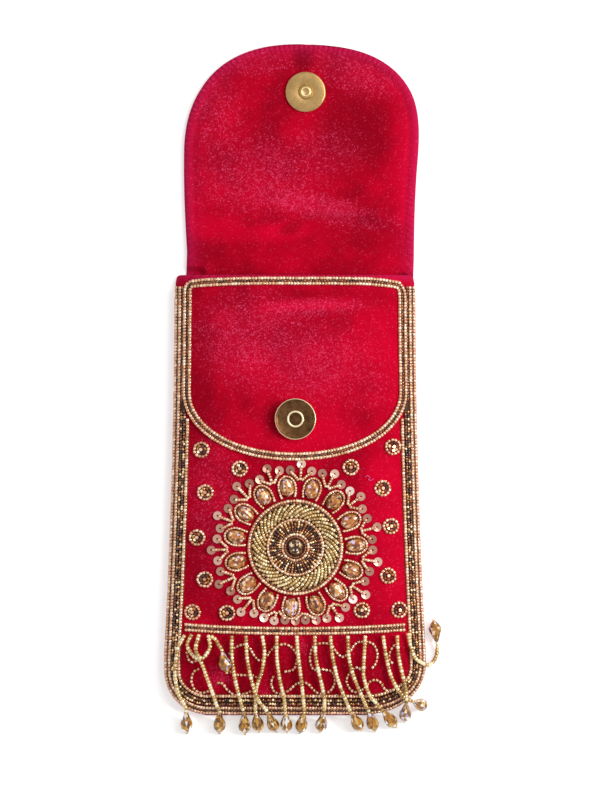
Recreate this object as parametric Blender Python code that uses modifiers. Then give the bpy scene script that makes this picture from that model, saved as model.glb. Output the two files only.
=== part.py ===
"""A beaded velvet phone pouch, lying on its back with its flap folded open.

All sizes are in millimetres. A plan place is (x, rise): x runs to the right from the
middle, and rise runs up from the bottom edge towards the fold and the flap. The world
origin is on the table, in the middle of the back panel.
"""

import math

import bmesh
import bpy
from mathutils import Matrix, Vector

MM = 0.001

# Pouch outline
BACK_LENGTH = 202.5
MOUTH_DROP = 8.6
MOUTH_HALF_WIDTH = 53.3
BASE_HALF_WIDTH = 57.9
BASE_RISE = 27.0
MOUTH_CORNER = 3.2
LEFT_CORNER_WIDTH = 18.5
LEFT_CORNER_HEIGHT = 19.5
RIGHT_CORNER_WIDTH = 26.0
RIGHT_CORNER_HEIGHT = 22.0
EDGE_OVERHANG = 0.8

# Cloth layers, from the table up
SKIN = 0.9
STIFFENER = 1.2
LAYER_GAP = 0.3
FRONT_WALL = 1.6
FRONT_LINING_WALL = 0.6
FRONT_PADDING_GAP = 1.4
SEAM_ALLOWANCE = 5.2
CROWN_HEIGHT = 14.5
CROWN_REACH = 30.0
LIP_DROP = 0.12
LIP_REACH = 25.0

# Flap and its fold
FOLD_X = 2.4
FLAP_LEAN = math.radians(1.79)
FLAP_BASE_HALF = 49.9
FLAP_HALF_WIDTH = 51.5
FLAP_TIP_HEIGHT = 46.5
FLAP_TIP_MARGIN = 21.0
TIP_ROUNDNESS = 2.4
STIFFENER_INSET = 3.0
FACING_INSET = 0.4
FOLD_GAP = 0.3

# Magnetic snap
SNAP_X = 0.2
SNAP_MARGIN = 16.4
SNAP_RADIUS = 9.1
SOCKET_HEIGHT = 3.2
SOCKET_HOLE = 2.8
SNAP_STEM = 1.2
WASHER_RADIUS = 6.0
WASHER_WALL = 0.8
PLATE_WALL = 1.3
POST_RADIUS = 2.2
POST_HEIGHT = 2.1
FIT = 0.3

# Rows of seed beads, as ridges
BEAD_GAP = 0.3
ROW_HEIGHT = 1.2
ROW_WIDTH = 1.4
ROW_PITCH = 1.15
EDGE_ROW_INSET = 1.0
BORDER_ROW_INSET = 2.6
DARK_BAND_INSET = 4.45
INNER_ROW_INSET = 6.5
FLAP_LINE_INSET = 5.8
BORDER_ROW_TOP_DROP = 5.0
FLAP_LINE_TOP_DROP = 7.0
DARK_BAND_TOP_DROP = 8.4
INNER_ROW_TOP_DROP = 12.0
FLAP_LINE_DEPTH = 28.7
FLAP_LINE_MARGIN = 1.75
FLAP_LINE_ROUNDNESS = 2.1
MOUTH_ROWS_DROP = 2.8
MOUTH_ROWS_SAG = 1.5
HEADER_RISE = 37.4
HEADER_ARCH = 2.2
HEADER_INSET = 8.6

# Round medallion, measured from its middle
MEDALLION_X = 0.2
MEDALLION_MARGIN = 6.4
HEART_RADIUS = 2.9
INNER_RING_RADIUS = 5.7
SPOKE_RING_RADIUS = 9.0
SPOKE_RING_WIDTH = 3.6
MIDDLE_RING_RADIUS = 12.1
ROPE_RING_RADIUS = 15.9
ROPE_RING_WIDTH = 5.0
ROPE_TURNS = 30
OUTER_RING_RADIUS = 20.3
PETALS = 15
PETAL_TURN = math.radians(-7.9)
PETAL_BASE_RADIUS = 22.3
PETAL_TIP_RADIUS = 30.8
CRYSTAL_RADIUS = 26.4
CRYSTAL_HALF_LENGTH = 3.7
CRYSTAL_HALF_WIDTH = 2.5
SPRAY_RADIUS = 36.0
SPRAY_SPREAD = math.radians(7.6)
SPRAY_TUCK = 0.7
SEQUIN_RADIUS = 1.95

# Small flowers of beads: side, distance in from that side, rise above the medallion's middle
ROSETTE_RADIUS = 3.8
ROSETTES = (
    (-1, 12.7, 42.7),
    (-1, 29.5, 34.4),
    (-1, 14.7, 24.0),
    (-1, 12.1, 4.2),
    (-1, 16.2, -14.1),
    (-1, 11.7, -28.5),
    (-1, 26.7, -28.7),
    (1, 10.6, 43.9),
    (1, 29.1, 35.0),
    (1, 15.5, 25.8),
    (1, 12.7, 9.2),
    (1, 14.7, -12.5),
    (1, 10.8, -27.5),
    (1, 27.0, -27.5),
)

# Scrolls of beads behind the fringe, as routes of (share of the half width, share of the header's rise)
SCROLL_WIDTH = 1.5
SCROLL_HEIGHT = 0.8
SCROLLS = (
    (
        (-0.644, 0.316),
        (-0.703, 0.289),
        (-0.755, 0.324),
        (-0.781, 0.422),
        (-0.760, 0.532),
        (-0.717, 0.572),
    ),
    (
        (-0.592, 0.406),
        (-0.551, 0.401),
        (-0.509, 0.324),
        (-0.449, 0.265),
        (-0.358, 0.289),
        (-0.328, 0.316),
    ),
    (
        (-0.501, 0.722),
        (-0.472, 0.794),
        (-0.416, 0.834),
        (-0.358, 0.829),
        (-0.263, 0.658),
        (-0.159, 0.813),
        (-0.111, 0.842),
        (-0.054, 0.840),
        (0.003, 0.765),
        (0.016, 0.671),
        (-0.012, 0.559),
        (-0.083, 0.529),
    ),
    ((-0.491, 0.553), (-0.468, 0.505), (-0.399, 0.495), (-0.316, 0.489), (-0.282, 0.455)),
    (
        (-0.159, 0.492),
        (-0.178, 0.412),
        (-0.159, 0.310),
        (-0.107, 0.281),
        (-0.045, 0.318),
        (0.007, 0.388),
        (0.076, 0.412),
        (0.159, 0.305),
        (0.216, 0.283),
        (0.273, 0.324),
        (0.302, 0.417),
        (0.282, 0.532),
        (0.206, 0.559),
        (0.145, 0.559),
        (0.114, 0.647),
        (0.119, 0.749),
        (0.145, 0.834),
        (0.211, 0.861),
        (0.273, 0.840),
        (0.320, 0.741),
        (0.368, 0.703),
        (0.420, 0.775),
        (0.459, 0.858),
        (0.525, 0.877),
        (0.585, 0.853),
        (0.620, 0.757),
        (0.611, 0.642),
        (0.577, 0.564),
    ),
    (
        (0.501, 0.553),
        (0.463, 0.583),
        (0.418, 0.529),
        (0.390, 0.441),
        (0.406, 0.353),
        (0.449, 0.302),
        (0.508, 0.324),
        (0.560, 0.414),
        (0.608, 0.441),
        (0.649, 0.401),
        (0.680, 0.324),
        (0.734, 0.321),
    ),
    ((0.753, 0.848), (0.718, 0.765), (0.710, 0.706), (0.718, 0.647), (0.741, 0.623)),
    ((-0.819, 0.765), (-0.794, 0.658), (-0.767, 0.644), (-0.734, 0.658)),
)

# Fringe: each strand's route over the front, then the top and tip of its glass drop
STRAND_RADIUS = 1.0
STRAND_LIFT = 2.8
STRAND_STEP = 5.5
DROP_RADIUS = 2.7
DROP_CLEARANCE = 1.3
STRANDS = (
    ((-47.1, 36.1), (-49.7, 30.8), (-51.0, 22.9), (-51.0, 16.7), (-49.6, 10.6), (-47.8, 7.6)),
    ((-44.2, 36.5), (-46.1, 31.7), (-43.8, 27.3), (-40.7, 25.1), (-38.0, 18.0), (-35.4, 11.0), (-34.0, 6.8)),
    ((-41.2, 36.5), (-42.0, 30.0), (-39.6, 26.4), (-36.7, 30.8), (-37.2, 35.6), (-34.4, 34.4), (-32.9, 31.6)),
    ((-27.5, 36.1), (-27.6, 28.2), (-26.2, 17.8), (-24.2, 9.8), (-23.2, 6.4)),
    ((-21.4, 36.1), (-20.9, 26.4), (-18.8, 16.7), (-17.0, 11.8), (-15.4, 8.6), (-13.9, 6.4)),
    ((-14.3, 36.1), (-13.3, 29.0), (-14.3, 21.5), (-16.9, 13.6), (-17.3, 6.8)),
    ((-7.9, 36.1), (-7.9, 26.8), (-6.7, 17.8), (-4.8, 9.8), (-4.4, 6.6)),
    ((0.8, 36.1), (1.4, 27.9), (2.7, 17.8), (3.6, 9.8), (3.9, 6.6)),
    ((8.7, 36.1), (9.1, 26.8), (11.1, 17.8), (12.9, 9.8), (12.9, 6.6)),
    ((15.5, 36.1), (16.5, 26.8), (19.0, 16.7), (21.8, 9.8), (23.2, 6.6)),
    ((23.1, 36.1), (23.6, 26.8), (25.6, 18.9), (29.0, 10.8), (30.9, 6.6)),
    ((30.6, 36.1), (30.1, 26.8), (30.0, 18.2), (32.2, 11.4), (34.8, 8.2)),
    ((38.0, 36.1), (39.4, 26.8), (41.2, 19.4), (43.8, 14.0), (46.2, 11.2)),
    ((43.9, 36.1), (44.4, 27.5), (46.2, 19.0), (47.4, 13.4)),
    ((48.2, 37.0), (49.3, 31.4), (51.2, 26.2), (54.2, 23.6)),
)
# Extra height where a strand passes over another: its number, then its route's points
CROSSING_LIFTS = {2: {1: 2.4, 2: 2.4}, 4: {2: 0.9, 3: 2.5, 4: 1.4}, 12: {3: 1.4, 4: 3.2}}
# Each drop's top and tip, as (x, rise, height)
DROPS = (
    ((-47.8, 2.6, 7.8), (-47.5, -7.6, 1.0)),
    ((-33.0, 2.4, 9.6), (-33.2, -7.6, 0.9)),
    ((-31.9, 29.6, 18.2), (-29.7, 19.8, 18.6)),
    ((-22.5, 2.0, 9.6), (-22.0, -8.0, 0.9)),
    ((-11.8, 1.7, 10.0), (-8.2, -6.9, 0.9)),
    ((-17.2, 2.2, 9.6), (-15.8, -7.0, 0.9)),
    ((-4.2, 2.0, 9.6), (-3.5, -7.2, 0.9)),
    ((4.0, 2.0, 9.6), (2.0, -7.6, 0.9)),
    ((12.6, 1.9, 9.8), (10.8, -7.2, 0.9)),
    ((24.7, 1.9, 9.8), (29.2, -6.5, 0.9)),
    ((32.3, 2.8, 9.4), (35.2, -6.9, 0.9)),
    ((38.2, 3.2, 9.6), (44.6, -5.0, 0.9)),
    ((51.6, 7.0, 10.9), (57.8, 4.0, 1.2)),
    ((48.8, 6.0, 8.6), (48.2, -2.6, 0.9)),
    ((62.5, 32.2, 3.0), (60.9, 42.4, 3.0)),
)
SIDE_STRAND_TABLE_ROUTE = ((58.6, 22.6, 5.6), (61.2, 24.6, 2.6), (62.4, 27.6, 1.7), (62.6, 30.6, 2.4))
SIDE_STRAND = 14

# Finishes: colour, roughness, metallic
CRIMSON_VELVET = ((0.42, 0.0, 0.014), 0.85, 0.0)
STIFF_BOARD = ((0.62, 0.58, 0.50), 0.90, 0.0)
PALE_GOLD_BEADS = ((0.78, 0.55, 0.33), 0.30, 0.6)
DARK_BROWN_BEADS = ((0.07, 0.03, 0.012), 0.30, 0.3)
GREEN_GOLD_ROPE = ((0.62, 0.52, 0.28), 0.35, 0.6)
AMBER_GLASS = ((0.55, 0.30, 0.11), 0.10, 0.0)
CHAMPAGNE_BEADS = ((0.68, 0.56, 0.34), 0.25, 0.3)
LIGHT_BRASS = ((0.52, 0.38, 0.18), 0.35, 1.0)
DARK_BRASS = ((0.16, 0.10, 0.045), 0.40, 1.0)
MAGNET_GREY = ((0.20, 0.20, 0.21), 0.50, 0.8)
STEEL = ((0.55, 0.55, 0.56), 0.35, 1.0)

# Heights that follow from the layers
STIFFENER_FLOOR = SKIN + LAYER_GAP
STIFFENER_TOP = STIFFENER_FLOOR + STIFFENER
FACING_FLOOR = STIFFENER_TOP + LAYER_GAP
FACING_TOP = FACING_FLOOR + SKIN
SEAM_HEIGHT = SKIN + LAYER_GAP
LINING_DEPTH = FRONT_WALL + FRONT_PADDING_GAP
INNER_DEPTH = LINING_DEPTH + FRONT_LINING_WALL
MOUTH_RISE = BACK_LENGTH - MOUTH_DROP
MEDALLION_RISE = HEADER_RISE + MEDALLION_MARGIN + PETAL_TIP_RADIUS
FLAP_LINE_BOTTOM_RISE = MEDALLION_RISE + SPRAY_RADIUS + SEQUIN_RADIUS + FLAP_LINE_MARGIN
FLAP_LINE_KNEE_RISE = FLAP_LINE_BOTTOM_RISE + FLAP_LINE_DEPTH
SNAP_RISE = FLAP_LINE_BOTTOM_RISE + SNAP_MARGIN
SOCKET_SEAT = CROWN_HEIGHT + FIT
STUD_SEAT = FACING_TOP + FIT
FOLD_HEIGHT = (STUD_SEAT + PLATE_WALL + FIT + SOCKET_SEAT + SOCKET_HEIGHT) / 2

# Directions of the flap: along it from the fold, and across it
ALONG_FLAP = (math.sin(FLAP_LEAN), math.cos(FLAP_LEAN))
ACROSS_FLAP = (math.cos(FLAP_LEAN), -math.sin(FLAP_LEAN))
SNAP_REACH = (FOLD_X - SNAP_X) * ALONG_FLAP[0] + (BACK_LENGTH - SNAP_RISE) * ALONG_FLAP[1]
FLAP_LENGTH = SNAP_REACH + FLAP_TIP_MARGIN
STUD_PLACE = (SNAP_X + 2 * SNAP_REACH * ALONG_FLAP[0], SNAP_RISE + 2 * SNAP_REACH * ALONG_FLAP[1])


def world(x, rise, z):
    """A place in metres in the world, from millimetres on the pouch."""
    return Vector((x, rise - BACK_LENGTH / 2, z)) * MM


def clear_scene():
    for obj in list(bpy.data.objects):
        bpy.data.objects.remove(obj, do_unlink=True)


def new_collection(name):
    collection = bpy.data.collections.new(name)
    bpy.context.scene.collection.children.link(collection)
    return collection


def finish(name, look):
    """A Principled material of this colour, roughness and metallic value."""
    material = bpy.data.materials.get(name) or bpy.data.materials.new(name)
    material.use_nodes = True
    shader = material.node_tree.nodes["Principled BSDF"]
    colour, roughness, metallic = look
    shader.inputs["Base Color"].default_value = (*colour, 1.0)
    shader.inputs["Roughness"].default_value = roughness
    shader.inputs["Metallic"].default_value = metallic
    material.diffuse_color = (*colour, 1.0)
    return material


def object_from(bm, name, look, collection):
    """A new object that holds this mesh, with its faces turned outwards."""
    bmesh.ops.recalc_face_normals(bm, faces=bm.faces[:])
    mesh = bpy.data.meshes.new(name)
    bm.to_mesh(mesh)
    bm.free()
    obj = bpy.data.objects.new(name, mesh)
    obj.data.materials.append(finish(*look))
    collection.objects.link(obj)
    return obj


# Outlines


def fabric_half_width(rise, side):
    """Half the cloth's width at this rise. side is -1 on the left and 1 on the right."""
    taper = min((MOUTH_RISE - rise) / (MOUTH_RISE - BASE_RISE), 1.0)
    half = MOUTH_HALF_WIDTH + (BASE_HALF_WIDTH - MOUTH_HALF_WIDTH) * taper**2 - EDGE_OVERHANG
    wide = LEFT_CORNER_WIDTH if side < 0 else RIGHT_CORNER_WIDTH
    high = LEFT_CORNER_HEIGHT if side < 0 else RIGHT_CORNER_HEIGHT
    into_corner = (high - (rise - EDGE_OVERHANG)) / high
    if into_corner > 0:
        half -= wide * (1 - math.sqrt(max(1 - into_corner**2, 0)))
    into_mouth = (rise - MOUTH_RISE + MOUTH_CORNER) / MOUTH_CORNER
    if into_mouth > 0:
        half -= MOUTH_CORNER * (1 - math.sqrt(max(1 - into_mouth**2, 0)))
    return half


def side_run(side, top, steps=10, corner_steps=7):
    """Places down one side of the cloth and round its bottom corner, from this rise."""
    high = LEFT_CORNER_HEIGHT if side < 0 else RIGHT_CORNER_HEIGHT
    corner_top = high + EDGE_OVERHANG
    rises = [top + (corner_top - top) * i / steps for i in range(steps)]
    for i in range(corner_steps + 1):
        rises.append(corner_top - high * math.sin(math.pi / 2 * i / corner_steps))
    return [(side * fabric_half_width(rise, side), rise) for rise in rises]


def bottom_run(steps=9):
    """Places along the straight bottom edge, between the two corners."""
    left = -fabric_half_width(EDGE_OVERHANG, -1)
    right = fabric_half_width(EDGE_OVERHANG, 1)
    return [(left + (right - left) * i / steps, EDGE_OVERHANG) for i in range(1, steps)]


def sewn_edge(top):
    """The three sewn sides of the cloth: down the left, along the bottom, up the right."""
    return side_run(-1, top) + bottom_run() + side_run(1, top)[::-1]


def sideways(route, closed=False):
    """The unit vector to the left of travel at each place of a plan route."""
    found = []
    count = len(route)
    for i in range(count):
        before = route[(i - 1) % count] if closed else route[max(i - 1, 0)]
        after = route[(i + 1) % count] if closed else route[min(i + 1, count - 1)]
        run = math.hypot(after[0] - before[0], after[1] - before[1])
        found.append((-(after[1] - before[1]) / run, (after[0] - before[0]) / run))
    return found


def inset_route(route, inset):
    """The route moved this far to the left of travel, which is inwards on the sewn edge."""
    pairs = zip(route, sideways(route))
    return [(x + inset * nx, rise + inset * nr) for (x, rise), (nx, nr) in pairs]


def border_route(inset, top):
    """A row that follows the sewn edge, this far inside it, with both ends at one rise."""
    return inset_route(sewn_edge(top), inset)


def fold_rise(x):
    """The rise of the fold line at this x."""
    return BACK_LENGTH - (x - FOLD_X) * math.tan(FLAP_LEAN)


def back_outline(inset, neck_half):
    """The back panel, up to the fold."""
    lower = border_route(inset, MOUTH_RISE - MOUTH_CORNER)
    neck = []
    for side in (1, -1):
        x = side * neck_half
        neck.append((x, fold_rise(x) - FOLD_GAP / 2))
    return lower + neck


def flap_place(s, t):
    """A plan place on the flap: s from the fold line, t across from the flap's middle."""
    x = FOLD_X + ALONG_FLAP[0] * s + ACROSS_FLAP[0] * t
    rise = BACK_LENGTH + ALONG_FLAP[1] * s + ACROSS_FLAP[1] * t
    return (x, rise)


def flap_outline(inset=0.0, steps=11):
    """The flap, from just beyond the fold round its rounded end."""
    straight = FLAP_LENGTH - FLAP_TIP_HEIGHT
    half = FLAP_HALF_WIDTH - inset
    high = FLAP_TIP_HEIGHT - inset
    right = [(FOLD_GAP / 2 + inset, FLAP_BASE_HALF - inset), (straight * 0.5, FLAP_BASE_HALF + 0.8 - inset)]
    for i in range(steps):
        turn = math.pi / 2 * i / steps
        across = half * math.cos(turn) ** (2 / TIP_ROUNDNESS)
        right.append((straight + high * math.sin(turn) ** (2 / TIP_ROUNDNESS), across))
    left = [(s, -t) for s, t in reversed(right)]
    return [flap_place(s, t) for s, t in right + [(FLAP_LENGTH - inset, 0.0)] + left]


def ring_route(radius, steps):
    """A circle round the medallion's middle."""
    turns = [2 * math.pi * i / steps for i in range(steps)]
    return [(MEDALLION_X + radius * math.sin(a), MEDALLION_RISE + radius * math.cos(a)) for a in turns]


def smooth_route(points, step):
    """Places about one step apart on a smooth curve through these points."""
    knots = [Vector(point) for point in points]
    knots = [2 * knots[0] - knots[1]] + knots + [2 * knots[-1] - knots[-2]]
    found = []
    for before, start, end, after in zip(knots, knots[1:], knots[2:], knots[3:]):
        pieces = max(1, round((end - start).length / step))
        for i in range(pieces):
            t = i / pieces
            swing = (end - before) * t + (2 * before - 5 * start + 4 * end - after) * t**2
            swing += (3 * start - before - 3 * end + after) * t**3
            found.append(start + swing / 2)
    return found + [knots[-2]]


# The padded front


def shoulder(distance):
    """0 at a seam, rising to 1 where the padding is full."""
    reach = min(max(distance, 0.0) / CROWN_REACH, 1.0)
    return math.sqrt(1 - (1 - reach) ** 2)


def front_height(x, rise):
    """How high the front's outer face is at this place."""
    side = -1 if x < 0 else 1
    fullness = shoulder(fabric_half_width(rise, side) - abs(x)) * shoulder(rise - EDGE_OVERHANG)
    into_lip = max(rise - MOUTH_RISE + LIP_REACH, 0.0) / LIP_REACH
    return SEAM_HEIGHT + (CROWN_HEIGHT - SEAM_HEIGHT) * fullness * (1 - LIP_DROP * into_lip**2)


def off_front(x, rise, lift):
    """A place this far out from the front's face, square to it."""
    step = 0.05
    inward = -step if x > 0 else step
    here = front_height(x, rise)
    slope_x = (front_height(x + inward, rise) - here) / inward
    up = step if rise < MOUTH_RISE / 2 else -step
    slope_rise = (front_height(x, rise + up) - here) / up
    square = Vector((-slope_x, -slope_rise, 1.0)).normalized()
    return Vector((x, rise, here)) + square * lift


def front_rises():
    """The rises of the front's cross rows, closest where the cloth curves."""
    corner = max(LEFT_CORNER_HEIGHT, RIGHT_CORNER_HEIGHT) + EDGE_OVERHANG
    rises = [EDGE_OVERHANG + (corner - EDGE_OVERHANG) * (i / 7) ** 2 for i in range(7)]
    below_mouth = MOUTH_RISE - MOUTH_CORNER
    rises += [corner + (below_mouth - corner) * i / 9 for i in range(10)]
    return rises + [MOUTH_RISE - MOUTH_CORNER / 3, MOUTH_RISE]


def under_front(x, rise, depth):
    """The place on a skin this deep inside the front that answers to (x, rise) on its face."""
    shrunk_width = 1 - depth / fabric_half_width(rise, -1 if x < 0 else 1)
    shrunk_length = 1 - depth / (MOUTH_RISE - EDGE_OVERHANG)
    shrunk_height = 1 - depth / (CROWN_HEIGHT - SEAM_HEIGHT)
    height = SEAM_HEIGHT + (front_height(x, rise) - SEAM_HEIGHT) * shrunk_height
    return (x * shrunk_width, MOUTH_RISE - (MOUTH_RISE - rise) * shrunk_length, height)


def front_shell(name, look, outer_depth, inner_depth, collection, columns=14):
    """A wall between two depths below the front's face, open at the back and the mouth."""
    rises = front_rises()
    bm = bmesh.new()
    skins = []
    for depth in (outer_depth, inner_depth):
        rows = []
        for rise in rises:
            left = -fabric_half_width(rise, -1)
            right = fabric_half_width(rise, 1)
            row = []
            for i in range(columns + 1):
                spread = math.sin(math.pi / 2 * (2 * i / columns - 1))
                x = spread * (right if spread > 0 else -left)
                row.append(bm.verts.new(world(*under_front(x, rise, depth))))
            rows.append(row)
        skins.append(rows)
        for low, high in zip(rows, rows[1:]):
            for i in range(columns):
                bm.faces.new((low[i], low[i + 1], high[i + 1], high[i]))
    rims = [rim_of(rows) for rows in skins]
    for i in range(len(rims[0])):
        j = (i + 1) % len(rims[0])
        bm.faces.new((rims[0][i], rims[0][j], rims[1][j], rims[1][i]))
    return object_from(bm, name, look, collection)


def rim_of(rows):
    """The points round the outside of a grid, in order."""
    right = [row[-1] for row in rows[1:-1]]
    left = [row[0] for row in rows[1:-1]]
    return rows[0] + right + rows[-1][::-1] + left[::-1]


# Shapes that repeat


def slab(name, look, outline, floor, thickness, collection, hole=None):
    """A flat sheet of cloth or board, with an optional round hole (x, rise, radius)."""
    curve = bpy.data.curves.new(name, "CURVE")
    curve.dimensions = "2D"
    curve.fill_mode = "BOTH"
    curve.extrude = thickness * MM / 2
    loops = [outline]
    if hole:
        x, rise, radius = hole
        turns = [2 * math.pi * i / 20 for i in range(20)]
        loops.append([(x + radius * math.cos(a), rise + radius * math.sin(a)) for a in turns])
    for loop in loops:
        spline = curve.splines.new("POLY")
        spline.points.add(len(loop) - 1)
        for point, (x, rise) in zip(spline.points, loop):
            point.co = (*world(x, rise, 0), 1.0)
        spline.use_cyclic_u = True
    obj = bpy.data.objects.new(name, curve)
    obj.location.z = (floor + thickness / 2) * MM
    curve.materials.append(finish(*look))
    collection.objects.link(obj)
    return obj


def turned(name, look, profile, place, seat, collection, steps=24):
    """A turned piece: a closed profile of (radius, height above its seat), spun round."""
    bm = bmesh.new()
    points = [bm.verts.new((radius * MM, 0.0, height * MM)) for radius, height in profile]
    for start, end in zip(points, points[1:]):
        bm.edges.new((start, end))
    if profile[0][0] > 0:
        bm.edges.new((points[-1], points[0]))
    mesh = bpy.data.meshes.new(name)
    bm.to_mesh(mesh)
    bm.free()
    obj = bpy.data.objects.new(name, mesh)
    obj.location = world(*place, seat)
    spin = obj.modifiers.new("Spin", "SCREW")
    spin.steps = steps
    spin.render_steps = steps
    spin.use_merge_vertices = True
    spin.merge_threshold = 0.00001
    obj.data.materials.append(finish(*look))
    collection.objects.link(obj)
    return obj


def ridge_section(rows, width, height):
    """Across a band of bead rows: pairs of (sideways, height), one crest a row."""
    if rows == 1:
        return [(-width / 2, 0), (-width / 4, height), (width / 4, height), (width / 2, 0)]
    section = [(-rows * width / 2, 0)]
    for row in range(rows):
        crest = (row - (rows - 1) / 2) * width
        section.append((crest, height))
        valley = 0 if row == rows - 1 else height * 0.45
        section.append((crest + width / 2, valley))
    return section


def band_on_front(bm, route, section, lift, closed=False):
    """Adds one closed band that lies along a plan route, lifted off the front's face."""
    sides = sideways(route, closed)
    stations = []
    for (x, rise), (nx, nr) in zip(route, sides):
        tops = [off_front(x + nx * w, rise + nr * w, lift + h) for w, h in section]
        middle = off_front(x, rise, lift)
        loop = tops + ([middle] if len(section) > 4 else [])
        stations.append([bm.verts.new(world(*place)) for place in loop])
    count = len(stations[0])
    pairs = list(zip(stations, stations[1:]))
    if closed:
        pairs.append((stations[-1], stations[0]))
    for here, there in pairs:
        for i in range(count):
            j = (i + 1) % count
            bm.faces.new((here[i], here[j], there[j], there[i]))
    if not closed:
        bm.faces.new(stations[0])
        bm.faces.new(stations[-1][::-1])


def bead_band(name, look, route, collection, rows=1, width=ROW_WIDTH, height=ROW_HEIGHT, closed=False):
    """A node that is one band of sewn bead rows."""
    bm = bmesh.new()
    band_on_front(bm, route, ridge_section(rows, width, height), BEAD_GAP, closed)
    return object_from(bm, name, look, collection)


def tube(name, look, places, radius, collection):
    """A strand of beads as one plain tube through these places."""
    curve = bpy.data.curves.new(name, "CURVE")
    curve.dimensions = "3D"
    curve.bevel_depth = radius * MM
    curve.bevel_resolution = 2
    curve.use_fill_caps = True
    spline = curve.splines.new("POLY")
    spline.points.add(len(places) - 1)
    for point, place in zip(spline.points, places):
        point.co = (*world(*place), 1.0)
    obj = bpy.data.objects.new(name, curve)
    curve.materials.append(finish(*look))
    collection.objects.link(obj)
    return obj


# The soft body


def build_back(collection):
    velvet = ("crimson_velvet", CRIMSON_VELVET)
    board = ("stiff_board", STIFF_BOARD)
    slab("back_cover", velvet, back_outline(0.0, FLAP_BASE_HALF), 0.0, SKIN, collection)
    inset = INNER_DEPTH + SEAM_ALLOWANCE
    inner = back_outline(inset, FLAP_BASE_HALF - STIFFENER_INSET)
    slab("back_stiffener", board, inner, STIFFENER_FLOOR, STIFFENER, collection)
    slab("back_lining", velvet, inner, FACING_FLOOR, SKIN, collection)


def build_front(collection, helpers):
    velvet = ("crimson_velvet", CRIMSON_VELVET)
    front = front_shell("front_panel", velvet, 0.0, FRONT_WALL, collection)
    front_shell("front_lining", velvet, LINING_DEPTH, INNER_DEPTH, collection)
    hole = stem_hole(helpers)
    cut = front.modifiers.new("Stem hole", "BOOLEAN")
    cut.operation = "DIFFERENCE"
    cut.object = hole
    for ornament in build_ornaments(helpers):
        sewn = front.modifiers.new(ornament.name, "BOOLEAN")
        sewn.operation = "UNION"
        sewn.object = ornament


def stem_hole(helpers):
    """The cutter for the snap's stem, through the front panel."""
    deep = FRONT_WALL * 3
    bm = bmesh.new()
    radius = (SNAP_STEM + FIT) * MM
    bmesh.ops.create_cone(bm, cap_ends=True, segments=16, radius1=radius, radius2=radius, depth=deep * MM)
    bmesh.ops.translate(bm, verts=bm.verts[:], vec=world(SNAP_X, SNAP_RISE, CROWN_HEIGHT - FRONT_WALL / 2))
    hole = object_from(bm, "stem_hole", ("crimson_velvet", CRIMSON_VELVET), helpers)
    hole.hide_render = True
    return hole


def build_flap(collection):
    velvet = ("crimson_velvet", CRIMSON_VELVET)
    board = ("stiff_board", STIFF_BOARD)
    washer_seat = (*STUD_PLACE, WASHER_RADIUS + FIT)
    stem_way = (*STUD_PLACE, SNAP_STEM + FIT)
    inner = flap_outline(STIFFENER_INSET)
    facing = flap_outline(FACING_INSET)
    return [
        slab("flap_cover", velvet, flap_outline(), 0.0, SKIN, collection),
        slab("flap_stiffener", board, inner, STIFFENER_FLOOR, STIFFENER, collection, washer_seat),
        slab("flap_facing", velvet, facing, FACING_FLOOR, SKIN, collection, stem_way),
    ]


def hang_on_fold(pieces, collection):
    """Parents the flap's pieces to an empty on the fold's axis, which its X runs along."""
    fold = bpy.data.objects.new("fold_axis", None)
    fold.location = world(FOLD_X, BACK_LENGTH, FOLD_HEIGHT)
    fold.rotation_euler.z = -FLAP_LEAN
    collection.objects.link(fold)
    for piece in pieces:
        piece.parent = fold
        piece.matrix_parent_inverse = fold.matrix_basis.inverted()


# The magnetic snap


def build_socket(collection):
    """The thick half on the front: casing, magnet, base with its stem, and washer."""
    brass = ("dark_brass", DARK_BRASS)
    place = (SNAP_X, SNAP_RISE)
    rim = SOCKET_HOLE + 0.9
    wall = 0.6
    ceiling = SOCKET_HEIGHT - 1.1
    base_radius = SNAP_RADIUS - wall - FIT
    casing = [
        (SOCKET_HOLE, wall + FIT),
        (SOCKET_HOLE, SOCKET_HEIGHT),
        (rim, SOCKET_HEIGHT),
        (rim + wall, SOCKET_HEIGHT - 0.5),
        (SNAP_RADIUS - 1.5, SOCKET_HEIGHT - 0.5),
        (SNAP_RADIUS - 0.9, SOCKET_HEIGHT - 0.2),
        (SNAP_RADIUS, SOCKET_HEIGHT - 0.8),
        (SNAP_RADIUS, 0.0),
        (SNAP_RADIUS - wall, 0.0),
        (SNAP_RADIUS - wall, ceiling),
        (SOCKET_HOLE + wall, ceiling),
        (SOCKET_HOLE + wall, wall + FIT),
    ]
    turned("snap_socket_casing", brass, casing, place, SOCKET_SEAT, collection)
    magnet = [
        (SOCKET_HOLE + wall + FIT, wall + FIT),
        (SOCKET_HOLE + wall + FIT, ceiling - FIT),
        (base_radius, ceiling - FIT),
        (base_radius, wall + FIT),
    ]
    turned("snap_magnet", ("magnet_grey", MAGNET_GREY), magnet, place, SOCKET_SEAT, collection)
    washer_top = -FIT - FRONT_WALL - FIT
    base = [
        (0.0, wall),
        (base_radius, wall),
        (base_radius, 0.0),
        (SNAP_STEM, 0.0),
        (SNAP_STEM, washer_top - WASHER_WALL),
        (0.0, washer_top - WASHER_WALL),
    ]
    turned("snap_socket_base", ("steel", STEEL), base, place, SOCKET_SEAT, collection)
    washer("snap_socket_washer", place, SOCKET_SEAT + washer_top - WASHER_WALL, collection)


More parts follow.
